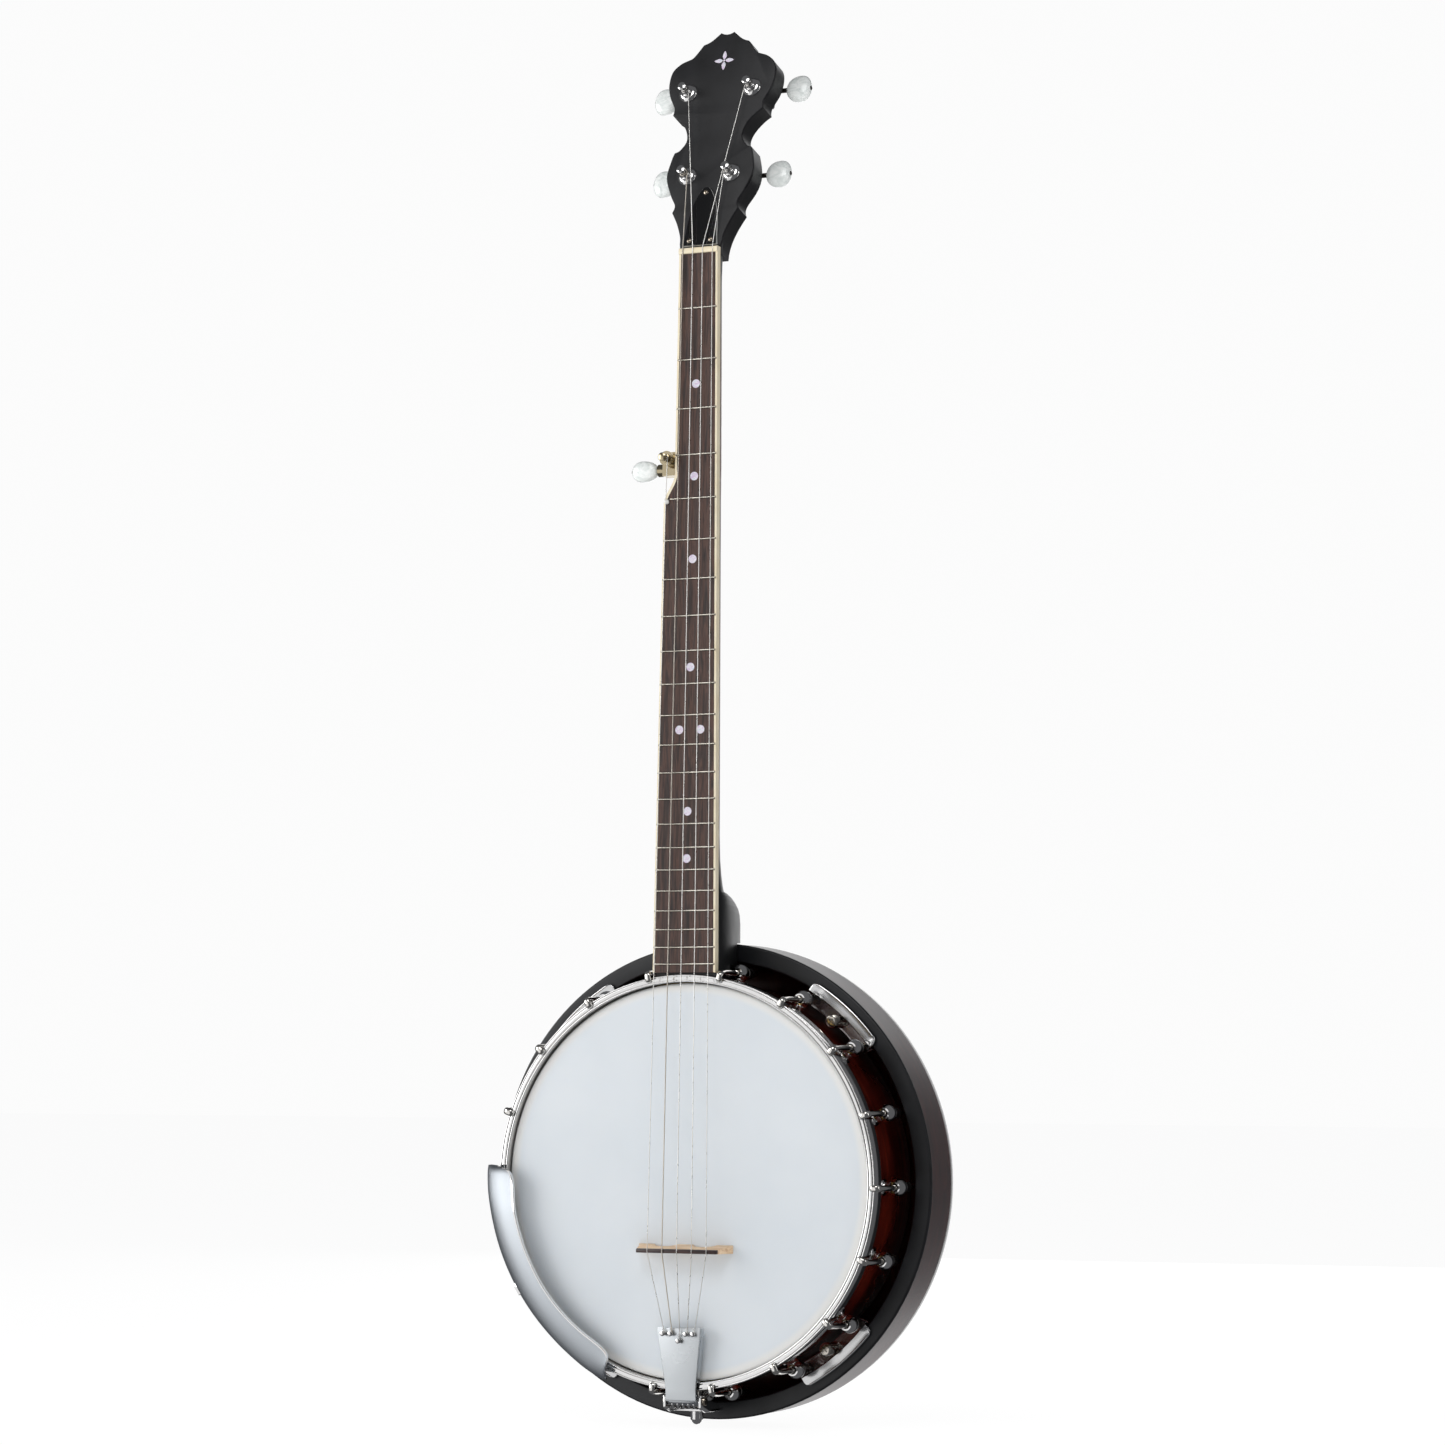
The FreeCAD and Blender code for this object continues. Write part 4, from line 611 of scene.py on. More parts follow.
# ---------------------------------------------------------------- neck and peghead
# One piece of wood for the shaft, heel and peghead, stained dark red under black on the shaft and sprayed
# satin black at both ends. A black facing with a scrolled outline is glued to the peghead's front.
WHOLE = Matrix.Scale(0.001, 4)
# The neck's own directions: x to the right, y up the neck from the nut, z out of the fingerboard. The
# peghead's are the same but leant back, from where its face starts.
NECK = Matrix.Translation((0, -0.0872, 0.6406)) @ Matrix.Rotation(math.radians(88), 4, "X") @ WHOLE
PEG = Matrix.Translation((0, -0.0852, 0.641)) @ Matrix.Rotation(math.radians(74.5), 4, "X") @ WHOLE
neck_finish = finish("neck_finish", 0.42, coat=0.08, coat_roughness=0.3)
neck_grain = pattern(neck_finish, 30, (5, 5, 0.5), detail=6, warp=0.6)
neck_red = colours(neck_finish, neck_grain, [(0.3, 44, 12, 9), (0.7, 84, 27, 17)])
wear(neck_finish, pattern(neck_finish, 25), 0.34, 0.46)
along = coordinates(neck_finish)["Z"]
either = neck_finish.node_tree.nodes.new("ShaderNodeMath")
either.operation = "MAXIMUM"
for number, (start, stop) in enumerate(((0.235, 0.20), (0.585, 0.62))):
    neck_finish.node_tree.links.new(spread(neck_finish, along, start, stop), either.inputs[number])
mix_in(neck_finish, neck_red, either.outputs["Value"], shade(18, 18, 19))
repaint("neck", neck_finish)


def slab(outline, low, high, edge=0.0, back_edge=0.0):
    """A flat piece with the outline, its front edge (and its back one) rounded over."""
    bm = bmesh.new()
    face = bm.faces.new([bm.verts.new((p[0], p[1], low)) for p in outline])
    face.normal_update()
    if face.normal.z > 0:
        face.normal_flip()
    grown = bmesh.ops.extrude_face_region(bm, geom=[face], use_keep_orig=True)["geom"]
    top = [g for g in grown if isinstance(g, bmesh.types.BMVert)]
    bmesh.ops.translate(bm, verts=top, vec=(0, 0, high - low))
    bmesh.ops.recalc_face_normals(bm, faces=bm.faces)
    for level, size in ((high, edge), (low, back_edge)):
        if size:
            lip = [e for e in bm.edges if all(abs(v.co.z - level) < 1e-6 for v in e.verts)]
            bmesh.ops.bevel(bm, geom=lip, offset=size, segments=3, profile=0.5, affect="EDGES", material=-1)
    return bm


SCROLL = [[(16.1, 8), (16.8, 14), (20.5, 24), (25.3, 33)],
          [(25.3, 33), (24.0, 38.5), (28.3, 47), (33.2, 61), (31.2, 74.5), (29.5, 80)],
          [(29.5, 80), (25.4, 82), (21.2, 89.5), (24.7, 100.3), (34.8, 110)],
          [(34.8, 110), (34.4, 115.5), (38.7, 124.5), (41, 134), (39.6, 144.5), (34, 150.4), (28, 153)],
          [(28, 153), (24, 155.2), (17.6, 164)], [(17.6, 164), (12, 166.4), (5, 172.4)],
          [(5, 172.4), (2.5, 171.2), (0, 170.8)]]
right_side = [(15.5, 4.9, 0)]
for run in SCROLL:
    right_side += [tuple(p) for p in smooth_line([(x, y, 0) for x, y in run], 5)[:-1]]
right_side.append((0, 170.8, 0))
scroll = right_side + [(-x, y, 0) for x, y, z in reversed(right_side[:-1])]
facing_black = finish("facing_black", 0.46)
colours(facing_black, pattern(facing_black, 90, (1, 1, 0.3)), [(0.3, 14, 14, 16), (0.7, 22, 22, 25)])
wear(facing_black, pattern(facing_black, 40), 0.42, 0.54)
set_down("peghead_facing", slab(scroll, -1.98, 0, edge=0.5), PEG, facing_black,
         ["peghead_overlay"])

# A small four-petalled flower of pearl shell is let into the facing near its crown.
pearl = finish("pearl_shell", 0.22, coat=0.6)
sheen = pattern(pearl, 190, (1, 1, 1.6), detail=3, warp=2.5)
colours(pearl, sheen, [(0.2, 176, 190, 214), (0.45, 228, 226, 232), (0.6, 206, 184, 214),
                       (0.8, 214, 234, 226)])
petal = [(0, 1.1, 0), (1.5, 3.0, 0), (1.1, 5.6, 0), (0, 7.4, 0), (-1.1, 5.6, 0), (-1.5, 3.0, 0)]
petals = [slab(smooth_line(petal, 4, closed=True), -0.2, 0.06, edge=0.04) for _ in range(4)]
for n, one in enumerate(petals):
    turned_about(one, "Z", 90 * n, (0, 150, 0))
middle = moved(lathe([(0, 0.08), (0.8, 0.06), (0.9, -0.2), (0, -0.2)], 16), (0, 150, 0))
set_down("pearl_flower", gather(*petals, middle), PEG, pearl)

# ---------------------------------------------------------------- truss rod cover
# A bell-shaped black plastic plate on a white ply, which shows as a line round its edge. It hides the
# truss rod's nut and is held by three round-headed screws.
bell_side = [(13.2, 5.6), (12.0, 14), (11.2, 24), (9.2, 35), (5.8, 44), (2.2, 49.4), (0, 50.2)]
bell_side = smooth_line([(x, y, 0) for x, y in bell_side], 6)
bell = [tuple(p) for p in bell_side] + [(-p[0], p[1], 0) for p in reversed(bell_side[:-1])]
cover_black = finish("cover_black", 0.12, coat=0.7)
colours(cover_black, pattern(cover_black, 50), [(0.3, 7, 7, 8), (0.7, 13, 13, 14)])
wear(cover_black, pattern(cover_black, 30), 0.08, 0.18)
ply_white = finish("ply_white", 0.35)
colours(ply_white, pattern(ply_white, 70), [(0.3, 226, 226, 222), (0.7, 240, 240, 236)])
set_down("cover_ply", slab(bell, 0.03, 0.95), PEG, ply_white)
inset_bell = [(x * 0.985, y * 0.997 + 0.05, 0) for x, y, z in bell]
set_down("cover_plate", slab(inset_bell, 0.95, 1.6, edge=0.2), PEG, cover_black,
         ["truss_rod_cover"])


def round_head(radius, rise, slot):
    """A round screw head with a cross cut into it, standing at height 0."""
    bm = lathe([(0, 0), (radius, 0), (radius, 0.15 * rise)] + [
        (radius * math.cos(a), rise * math.sin(a)) for a in (0.4, 0.8, 1.2)] + [(0, rise)], 20, closed=False)
    cross_lines(bm, slot)
    cross = [f for f in bm.faces if f.normal.z > 0.3 and f.calc_center_median().xy.length < 0.6 * radius
             and min(abs(c) for c in f.calc_center_median().xy) < slot]
    sink(bm, cross, 0.4 * rise)
    return bm


screw_nickel = plated("screw_nickel", (196, 184, 168), 0.14, 0.24, 200)
cover_places = [Matrix.Translation(p) for p in ((0, 46, 1.55), (-8.2, 9.3, 1.55), (8.2, 9.3, 1.55))]
set_down("cover_screw_set", repeat(round_head(1.9, 1.15, 0.3), cover_places), PEG, screw_nickel,
         ["cover_screws"])

# ---------------------------------------------------------------- nut
# A strip of cream plastic across the top of the fingerboard, rounded in front and notched for four
# strings. A small peg in the cover ply's white finish lifts the fifth string beside its fret.
cream = finish("cream_plastic", 0.34, coat=0.2)
colours(cream, pattern(cream, 60, detail=3), [(0.3, 228, 214, 184), (0.7, 240, 230, 204)])
wear(cream, pattern(cream, 45), 0.28, 0.4)
let_light_in(cream, 0.15, (0.001, 0.0009, 0.0007))


def block(size, middle=(0, 0, 0), edge=0.0):
    """A box about its middle, with all its edges rounded over."""
    bm = bmesh.new()
    bmesh.ops.create_cube(bm, size=1)
    bmesh.ops.scale(bm, verts=bm.verts, vec=size)
    if edge:
        bmesh.ops.bevel(bm, geom=bm.edges[:], offset=edge, segments=2, profile=0.5, affect="EDGES",
                        material=-1)
    bmesh.ops.translate(bm, verts=bm.verts, vec=middle)
    return bm


string_lines = (-11, -3.5, 4, 11.5)
nut_bar = block((29.3, 4.2, 6.2), (0.35, 2.1, -1.9))
long_edges = [e for e in nut_bar.edges if abs(e.verts[0].co.x - e.verts[1].co.x) > 5 and e.verts[0].co.z > 0]
bmesh.ops.bevel(nut_bar, geom=long_edges, offset=0.9, segments=4, profile=0.5, affect="EDGES", material=-1)
for x in string_lines:
    for side in (-0.4, 0.4):
        scribe(nut_bar, (x + side, 0, 0), (1, 0, 0))
nut_bar.normal_update()
notches = [f for f in nut_bar.faces if f.normal.z > 0.2
           and any(abs(f.calc_center_median().x - x) < 0.3 for x in string_lines)]
sink(nut_bar, notches, 0.35)
set_down("nut_strip", nut_bar, NECK, cream, ["nut"])
pip = lathe([(0, 0), (1.7, 0), (1.75, 0.8), (1.5, 1.5), (0.9, 1.9), (0, 1.9)], 20, closed=False)
set_down("fifth_pip", moved(pip, (-19.9, -173.8, 0.02)), NECK, ply_white,
         ["fifth_string_nut"])

# ---------------------------------------------------------------- fingerboard, binding, frets and dots
# A rosewood board, bound along both sides in cream plastic, with twenty-two nickel frets hammered
# into it and round pearl dots let in between them.
rosewood = finish("rosewood", 0.5)
streaks = pattern(rosewood, 60, (7, 7, 0.45), detail=9, warp=0.7)
colours(rosewood, streaks, [(0.3, 34, 23, 20), (0.46, 58, 40, 34), (0.56, 80, 54, 44),
                            (0.7, 44, 29, 25)])
wear(rosewood, pattern(rosewood, 300, (4, 4, 0.4)), 0.42, 0.62)
relief(rosewood, pattern(rosewood, 420, (5, 5, 0.35), detail=5), 0.0001, 0.6)
repaint("fingerboard", rosewood)
repaint("binding", cream)
fret_nickel = plated("fret_nickel", (214, 208, 196), 0.16, 0.28, 150)
scale_length, step_end = 686, 174
narrow_left, step_left, wide_left, wide_taper = -13.9, -17.7, -21.2, 0.0038
nut_right, right_taper = 14.6, 0.0174
fret_bars = []
for number in range(1, 23):
    along = scale_length * (1 - 2 ** (-number / 12))
    left = wide_left - wide_taper * along if along > step_end else narrow_left
    if number == 5:
        left = step_left
    right = nut_right + right_taper * along
    ends = [left, left + 0.5, right - 0.5, right]
    fret_bars.append(bar([(x, -along, 0.12) for x in ends],
                         [(0.5, 0.25), (0.68, 0.8), (0.68, 0.8), (0.5, 0.25)]))
set_down("fret_set", gather(*fret_bars), NECK, fret_nickel, ["frets"])
repaint("position_dots", pearl)

# ---------------------------------------------------------------- tuners
# Four geared tuners: a post stands through a chromed bushing in the peghead, a closed case behind holds
# the worm, and its axle comes out at the side to a pearly plastic button with a screw in its end.
LEFT_LOW, LEFT_TOP, RIGHT_TOP, RIGHT_LOW = (-16.9, 60.5), (-24.7, 126.3), (24.7, 126.3), (16.9, 60.5)
POSTS = {4: LEFT_LOW, 3: LEFT_TOP, 2: RIGHT_TOP, 1: RIGHT_LOW}
bushing = lathe([(2.98, -2), (4.9, -2), (4.9, 0.02), (6.7, 0.02), (6.75, 0.5), (6.5, 0.95), (6.0, 1.3),
                 (5.6, 1.9), (4.9, 2.35), (3.6, 2.5), (2.98, 2.45)], 36)
post_places = [Matrix.Translation((x, y, 0)) for x, y in POSTS.values()]
set_down("bushing_set", repeat(bushing, post_places), PEG, chrome, ["tuner_bushings"])

case = block((15, 19, 8.97))
uprights = [e for e in case.edges if abs(e.verts[0].co.z - e.verts[1].co.z) > 5]
bmesh.ops.bevel(case, geom=uprights, offset=2.4, segments=4, profile=0.5, affect="EDGES", material=-1)
backs = [f for f in case.faces if f.normal.z < -0.9]
bmesh.ops.bevel(case, geom=list(backs[0].edges), offset=1.2, segments=3, profile=0.5, affect="EDGES",
                material=-1)
bmesh.ops.translate(case, verts=case.verts, vec=(0, 3.25, -20.51))
ear = lathe([(0, -17.6), (3.4, -17.6), (3.6, -17.2), (3.6, -16.03), (0, -16.03)], 24, closed=False)
moved(ear, (0, -8.4, 0))
cap = lathe([(0, -25.6), (2.4, -25.6), (2.9, -25.3), (3.0, -24.9), (0, -24.9)], 24, closed=False)
ear_screw = round_head(2.1, 1.0, 0.3)
turned_about(ear_screw, "Y", 180, (0, -9.4, -17.6))
set_down("tuner_case_set", repeat(gather(case, ear, cap), post_places), PEG, chrome,
         ["tuner_cases"])
set_down("case_screw_set", repeat(ear_screw, post_places), PEG, screw_nickel,
         ["tuner_case_screws"])

pearly = finish("pearly_plastic", 0.25, coat=0.5)
swirl = pattern(pearly, 70, (1, 1, 1.4), detail=3, warp=3.5)
colours(pearly, swirl, [(0.25, 212, 218, 216), (0.5, 236, 240, 238), (0.75, 248, 250, 248)])
wear(pearly, swirl, 0.2, 0.32)
let_light_in(pearly, 0.3, (0.003, 0.003, 0.003))
dark_steel = plated("dark_steel", (92, 88, 84), 0.22, 0.36, 140)


def grip(half_long, half_high, half_thick, start):
    """An oval button along x: fuller at its outer end, pinched where it meets the axle."""
    bm = bmesh.new()
    bmesh.ops.create_uvsphere(bm, u_segments=40, v_segments=24, radius=1)
    bmesh.ops.rotate(bm, verts=bm.verts, cent=(0, 0, 0), matrix=Matrix.Rotation(math.radians(90), 3, "Y"))
    for vert in bm.verts:
        x, y, z = vert.co
        swell = 1 + 0.10 * x - 0.10 * x * x
        round_off = (abs(x) ** 2.5 + math.hypot(y, z) ** 2.5) ** (-1 / 2.5)
        vert.co = (x * round_off * half_long, y * round_off * swell * half_high,
                   math.copysign(abs(z) ** 0.8, z) * round_off * half_thick)
    bmesh.ops.translate(bm, verts=bm.verts, vec=(start + half_long, 0, 0))
    return bm


# How far each button stands from its post.
REACHES = {4: 34.6 - 16.9, 3: 42.2 - 24.7, 2: 42.2 - 24.7, 1: 34.6 - 16.9}
for string, (x, y) in POSTS.items():
    capstan = lathe([(0, -22.3), (3.9, -22.3), (3.9, -18.9), (2.9, -18.9), (2.9, 2.6), (3.5, 3.3), (3.5, 4.2),
                     (2.7, 4.9), (2.25, 5.8), (2.2, 8.0), (2.6, 9.4), (3.1, 10.7), (3.2, 11.5), (2.9, 12.1),
                     (2.0, 12.45), (0, 12.5)], 32, closed=False)
    set_down(f"capstan_{string}", capstan, PEG @ Matrix.Translation((x, y, 0)), chrome,
             [f"tuner_post_{string}"], f"tuner_post_{string}")
    reach = REACHES[string]
    axle = lathe([(0, -5.7), (2.2, -5.7), (2.2, 5.3), (1.7, 5.3), (1.7, 7.7), (3.0, 7.9), (3.1, 8.8),
                  (2.9, 9.9), (1.9, 10.2), (1.7, 10.8), (1.7, reach + 2), (0, reach + 2)], 24, closed=False)
    turned_about(axle, "Y", 90)
    place = PEG @ Matrix.Translation((x, y + 6.5, -20.6)) @ Matrix.Rotation(0 if x > 0 else math.pi, 4, "Z")
    set_down(f"axle_{string}", axle, place, dark_steel, [f"tuner_button_{string}"],
             f"tuner_button_{string}")
    set_down(f"button_{string}", grip(9.1, 9.9, 4.5, reach), place, pearly,
             body=f"tuner_button_{string}")
    end_screw = round_head(1.7, 0.9, 0.3)
    turned_about(end_screw, "Y", 90, (reach + 17.9, 0, 0))
    set_down(f"button_screw_{string}", end_screw, place, dark_steel,
             body=f"tuner_button_{string}")

# ---------------------------------------------------------------- fifth-string tuner
# A smaller geared tuner let into the neck's side: its case lies under the binding, with a sleeve for
# the post and a barrel out to the left that ends in the same pearly button, set across the neck.
aged_nickel = plated("aged_nickel", (190, 176, 146), 0.14, 0.26, 120)
repaint("fifth_peg_case", aged_nickel)
fifth_place = NECK @ Matrix.Translation((-20.5, -143.4, -10))
fifth_post = lathe([(0, -1.7), (3.7, -1.7), (3.7, 1.7), (2.5, 1.7), (2.5, 12.2), (2.9, 12.6), (2.8, 13.2),
                    (1.9, 13.6), (1.8, 15.8), (2.4, 16.8), (3.0, 17.7), (3.0, 18.4), (2.4, 18.8),
                    (0, 18.9)], 28, closed=False)
set_down("fifth_capstan", fifth_post, fifth_place, aged_nickel, ["tuner_post_5"], "tuner_post_5")
fifth_axle = lathe([(0, -4.6), (2.2, -4.6), (2.2, 4.4), (1.7, 4.6), (1.7, 10.6), (2.6, 10.9), (2.6, 12),
                    (1.7, 12.4), (1.7, 15), (0, 15)], 24, closed=False)
fifth_button_place = NECK @ Matrix.Translation((-19.9, -149.9, -10)) @ Matrix.Rotation(math.pi, 4, "Z")
turned_about(fifth_axle, "Y", 90)
set_down("fifth_axle", fifth_axle, fifth_button_place, dark_steel, ["tuner_button_5"],
         "tuner_button_5")
set_down("fifth_button", grip(9.8, 7.3, 4.2, 11.9), fifth_button_place, pearly,
         body="tuner_button_5")
fifth_screw = round_head(1.5, 0.9, 0.3)
turned_about(fifth_screw, "Y", 90, (31.3, 0, 0))
set_down("fifth_button_screw", fifth_screw, fifth_button_place, dark_steel,
         body="tuner_button_5")

# ---------------------------------------------------------------- bridge
# A maple bridge on three feet, arched between them and thinned towards its top, where a strip of ebony
# carries the strings. Nothing fixes it: the strings press it on to the head.
maple = finish("maple", 0.5)
maple_grain = pattern(maple, 130, (0.35, 3, 5), detail=7, warp=0.5)
colours(maple, maple_grain, [(0.25, 206, 166, 126), (0.5, 234, 202, 166), (0.75, 246, 222, 190)])
wear(maple, pattern(maple, 260), 0.42, 0.58)
relief(maple, maple_grain, 0.00006, 0.4)
ebony = finish("ebony", 0.34)
colours(ebony, pattern(ebony, 220, (0.4, 3, 4), detail=6), [(0.3, 30, 19, 18), (0.7, 62, 38, 34)])
wear(ebony, pattern(ebony, 200), 0.28, 0.42)


def arch(left, right, height, steps=8):
    """The underside between two feet, from left to right."""
    middle, half = (left + right) / 2, (right - left) / 2
    return [(middle - half * math.cos(math.pi * n / steps), height * math.sin(math.pi * n / steps))
            for n in range(steps + 1)]


bridge_half, foot, arch_rise = 35.5, 12.5, 6.5
bridge_rise, strip_rise, foot_thick, top_thick = 16.3, 2.6, 5.6, 2.4
seam = bridge_rise - strip_rise
end_line = [(3.0, 6), (5.0, seam)]
strip_line = [(5.1, seam + 0.02), (5.7, bridge_rise)]
feet = [(-bridge_half, 0)] + arch(-bridge_half + foot, -foot / 2, arch_rise)
feet += arch(foot / 2, bridge_half - foot, arch_rise) + [(bridge_half, 0)]
feet += [(bridge_half - inward, height) for inward, height in end_line]
feet += [(inward - bridge_half, height) for inward, height in reversed(end_line)]
strip = [(bridge_half - inward, height) for inward, height in strip_line]
strip = [(-strip[0][0], strip[0][1])] + strip + [(-strip[1][0], strip[1][1])]
bridge_place = Matrix.Translation((0, -0.09902, -0.048)) @ WHOLE
for label, outline, wood, slot, node in (("bridge_body", feet, maple, "maple", "bridge"),
                                         ("bridge_strip", strip, ebony, "ebony", "bridge_saddle")):
    # Its straight side faces the tailpiece, and the other leans back as it thins.
    bm = slab([(x, -h, 0) for x, h in outline], 0, foot_thick)
    for vert in bm.verts:
        if vert.co.z > 1:
            vert.co.z = foot_thick + (foot_thick - top_thick) * vert.co.y / bridge_rise
    bmesh.ops.recalc_face_normals(bm, faces=bm.faces)
    corners = [e for e in bm.edges if e.calc_face_angle(0) > 1.0]
    bmesh.ops.bevel(bm, geom=corners, offset=0.3, segments=2, profile=0.5, affect="EDGES", material=-1)
    set_down(label, bm, bridge_place, wood, [node])

# ---------------------------------------------------------------- strings
# Five steel strings, the fourth wound with fine wire. They run dead straight from the tailpiece's studs
# over the bridge and the nut, and take a few turns round their posts.
string_steel = plated("string_steel", (236, 234, 230), 0.24, 0.36, 300)
wound_steel = plated("wound_steel", (222, 214, 202), 0.28, 0.4, 300)
tree = wound_steel.node_tree
place = tree.nodes.new("ShaderNodeTexCoord")
winding = tree.nodes.new("ShaderNodeTexWave")
winding.bands_direction = "Z"
winding.inputs["Scale"].default_value = 1400
tree.links.new(place.outputs["Object"], winding.inputs["Vector"])
relief(wound_steel, winding.outputs["Fac"], 0.00008, 0.6)
# The tailpiece's own directions are the pot's, tilted by four degrees about its hinge.
hinge = Vector((0, -147.5, 99.5))
TAIL = POT @ Matrix.Translation(hinge) @ Matrix.Rotation(math.radians(4), 4, "X") @ Matrix.Translation(-hinge)
TAIL_STUDS = {5: (-11.4, -101.5), 4: (-5.6, -101.5), 3: (0.2, -106.2), 2: (5.8, -101.5), 1: (11.2, -101.5)}
BRIDGE_NOTCHES = {5: -21.2, 4: -10.1, 3: 0.9, 2: 11.9, 1: 22.9}
NUT_NOTCHES = dict(zip((4, 3, 2, 1), string_lines))
GAUGES = {1: 0.28, 2: 0.30, 3: 0.34, 4: 0.42, 5: 0.28}


def spot_in(directions, x, y, z):
    """A point given in a piece's own directions, in millimetres from the whole instrument's origin."""
    return (directions @ Vector((x, y, z))) * 1000


pip_top, nut_top, bridge_top = 1.85, 0.95, 115.3
for string in range(1, 6):
    gauge = GAUGES[string]
    metal = wound_steel if string == 4 else string_steel
    if string == 5:
        start = [spot_in(NECK, -17.9, -143.0, 4.6), spot_in(NECK, -19.9, -172.6, pip_top + gauge),
                 spot_in(NECK, -19.9, -175.0, pip_top + gauge)]
    else:
        x, y = POSTS[string]
        inner = -1 if x > 0 else 1
        notch = NUT_NOTCHES[string]
        start = [spot_in(PEG, x + inner * (2.3 + gauge), y, 6.4), spot_in(NECK, notch, 4.0, nut_top + gauge),
                 spot_in(NECK, notch, 2.2, 1.0 + gauge), spot_in(NECK, notch, 0.3, nut_top + gauge)]
    over = [spot_in(POT, BRIDGE_NOTCHES[string], y, bridge_top + gauge) for y in (-45.6, -47.9)]
    stud_x, stud_y = TAIL_STUDS[string]
    end = [spot_in(TAIL, stud_x + 1.0, stud_y + 1.4, 107.3),
           spot_in(TAIL, stud_x + 1.15, stud_y - 0.2, 107.2)]
    wire = bar(start + over + end, gauge, sides=8)
    set_down(f"wire_{string}", wire, WHOLE, metal, [f"string_{string}"], crease=60)
    # The turns round the post, which ride round with it.
    radius, low, high, turns = (2.35, 5.6, 7.6, 3.5) if string < 5 else (2.05, 13.9, 15.3, 3)
    per_turn = 14
    coil = []
    for n in range(int(turns * per_turn) + 1):
        a = math.tau * n / per_turn
        coil.append(((radius + gauge) * math.cos(a), (radius + gauge) * math.sin(a),
                     low + (high - low) * n / (turns * per_turn)))
    place = PEG @ Matrix.Translation((*POSTS[string], 0)) if string < 5 else fifth_place
    set_down(f"post_winding_{string}", bar(coil, gauge, sides=6), place, metal,
             body=f"tuner_post_{string}", crease=60)

# ---------------------------------------------------------------- tailpiece
# A folded, plated cover hinged on a pin: five studs and a comb of hooks hold the strings, and its turned
# down sides stiffen it. A bracket on the rim carries the pin and is drawn tight by an acorn nut.
satin_chrome = plated("satin_chrome", (206, 210, 213), 0.24, 0.32, 18)
tail_side = [(15.6, -97.6), (16.2, -98.3), (11.8, -134.5), (11.4, -139.5), (11.4, -146.2), (11.0, -146.7)]
tail_outline = [(-15.6, -97.6)] + tail_side + [(-x, y) for x, y in reversed(tail_side[1:])]
cover = slab([(x, y, 0) for x, y in tail_outline], 104.6, 106.0, edge=0.35)
flanges = []
for side in (-1, 1):
    edge_line = [(side * 16.35, -98.2), (side * 14.95, -98.2), (side * 10.6, -134.4), (side * 11.95, -134.4)]
    flanges.append(slab([(x, y, 0) for x, y in edge_line], 99.9, 104.9, back_edge=0.3))
knuckle = lathe([(1.95, -11.5), (3.2, -11.5), (3.4, -11.2), (3.4, 11.2), (3.2, 11.5), (1.95, 11.5)], 28)
turned_about(knuckle, "Y", 90, hinge)
back_fold = block((22.8, 2.4, 4.6), (0, -146.3, 103.0), 0.4)
comb = []
for tooth in range(5):
    x = -8.4 + 4.0 * tooth
    line = [(x, -146.4, 101.6), (x, -149.4, 101.7), (x, -151.4, 101.0), (x, -152.4, 99.4), (x, -152.0, 97.4)]
    line = [tuple(p) for p in smooth_line(line, 3)]
    comb.append(bar(line, [(0.95, 0.75)] * (len(line) - 1) + [(0.6, 0.5)], sides=10))
studs = []
for x, y in TAIL_STUDS.values():
    stud = lathe([(0, 105.9), (1.5, 105.9), (1.5, 106.3), (0.9, 106.6), (0.9, 107.9), (1.5, 108.2),
                  (1.7, 108.5), (1.6, 109.0), (1.0, 109.3), (0, 109.35)], 20, closed=False)
    studs.append(moved(stud, (x, y, 0)))
set_down("tailpiece_cover", gather(cover, *flanges, knuckle, back_fold), TAIL, satin_chrome,
         ["tailpiece_plate"], "tailpiece")
set_down("tailpiece_comb", gather(*comb), TAIL, chrome, body="tailpiece")
set_down("tailpiece_studs", gather(*studs), TAIL, chrome, body="tailpiece")
loops = []
for x, y in TAIL_STUDS.values():
    ring = [(x + 1.15 * math.cos(math.tau * n / 12), y + 1.15 * math.sin(math.tau * n / 12), 106.8 + 0.05 * n)
            for n in range(26)]
    loops.append(bar(ring, 0.3, sides=6))
    twist = [(x + 0.5 * math.sin(1.9 * n) * 0.6, y + 1.4 + 0.55 * n, 107.2 + 0.45 * math.cos(1.9 * n) * 0.6)
             for n in range(6)]
    loops.append(bar(twist, 0.26, sides=6))
set_down("string_loops", gather(*loops), TAIL, string_steel, body="tailpiece", crease=60)

bracket = []
for side in (-1, 1):
    ear_line = [(74, -155.4), (96, -155.4), (103.4, -152.6), (104, -151.4), (104, -144.6), (103.2, -143.6),
                (100, -143.2), (88, -143.4), (74, -151.5)]
    ear = slab([(h, up, 0) for h, up in ear_line], -1, 1, edge=0.3, back_edge=0.3)
    # The ear is drawn on its side: its x is the forward direction.
    ear.transform(Matrix(((0, 0, 1, side * 13.2), (0, 1, 0, 0), (1, 0, 0, 0), (0, 0, 0, 1))))
    bmesh.ops.recalc_face_normals(ear, faces=ear.faces)
    bracket.append(ear)
for size, middle in (((28.4, 2, 20), (0, -154.5, 78)), ((18, 2, 13), (0, -134.9, 79)),
                     ((20, 20.5, 2), (0, -144.6, 73.5))):
    bracket.append(block(size, middle, 0.4))
set_down("tailpiece_bracket_plate", gather(*bracket), POT, chrome, ["tailpiece_bracket"])
pin = lathe([(0, -15.6), (2.3, -15.6), (2.6, -15.3), (2.6, -14.4), (1.85, -14.4), (1.85, 14.4), (3.0, 14.4),
             (3.0, 15.4), (2.6, 16.0), (0, 16.1)], 24, closed=False)
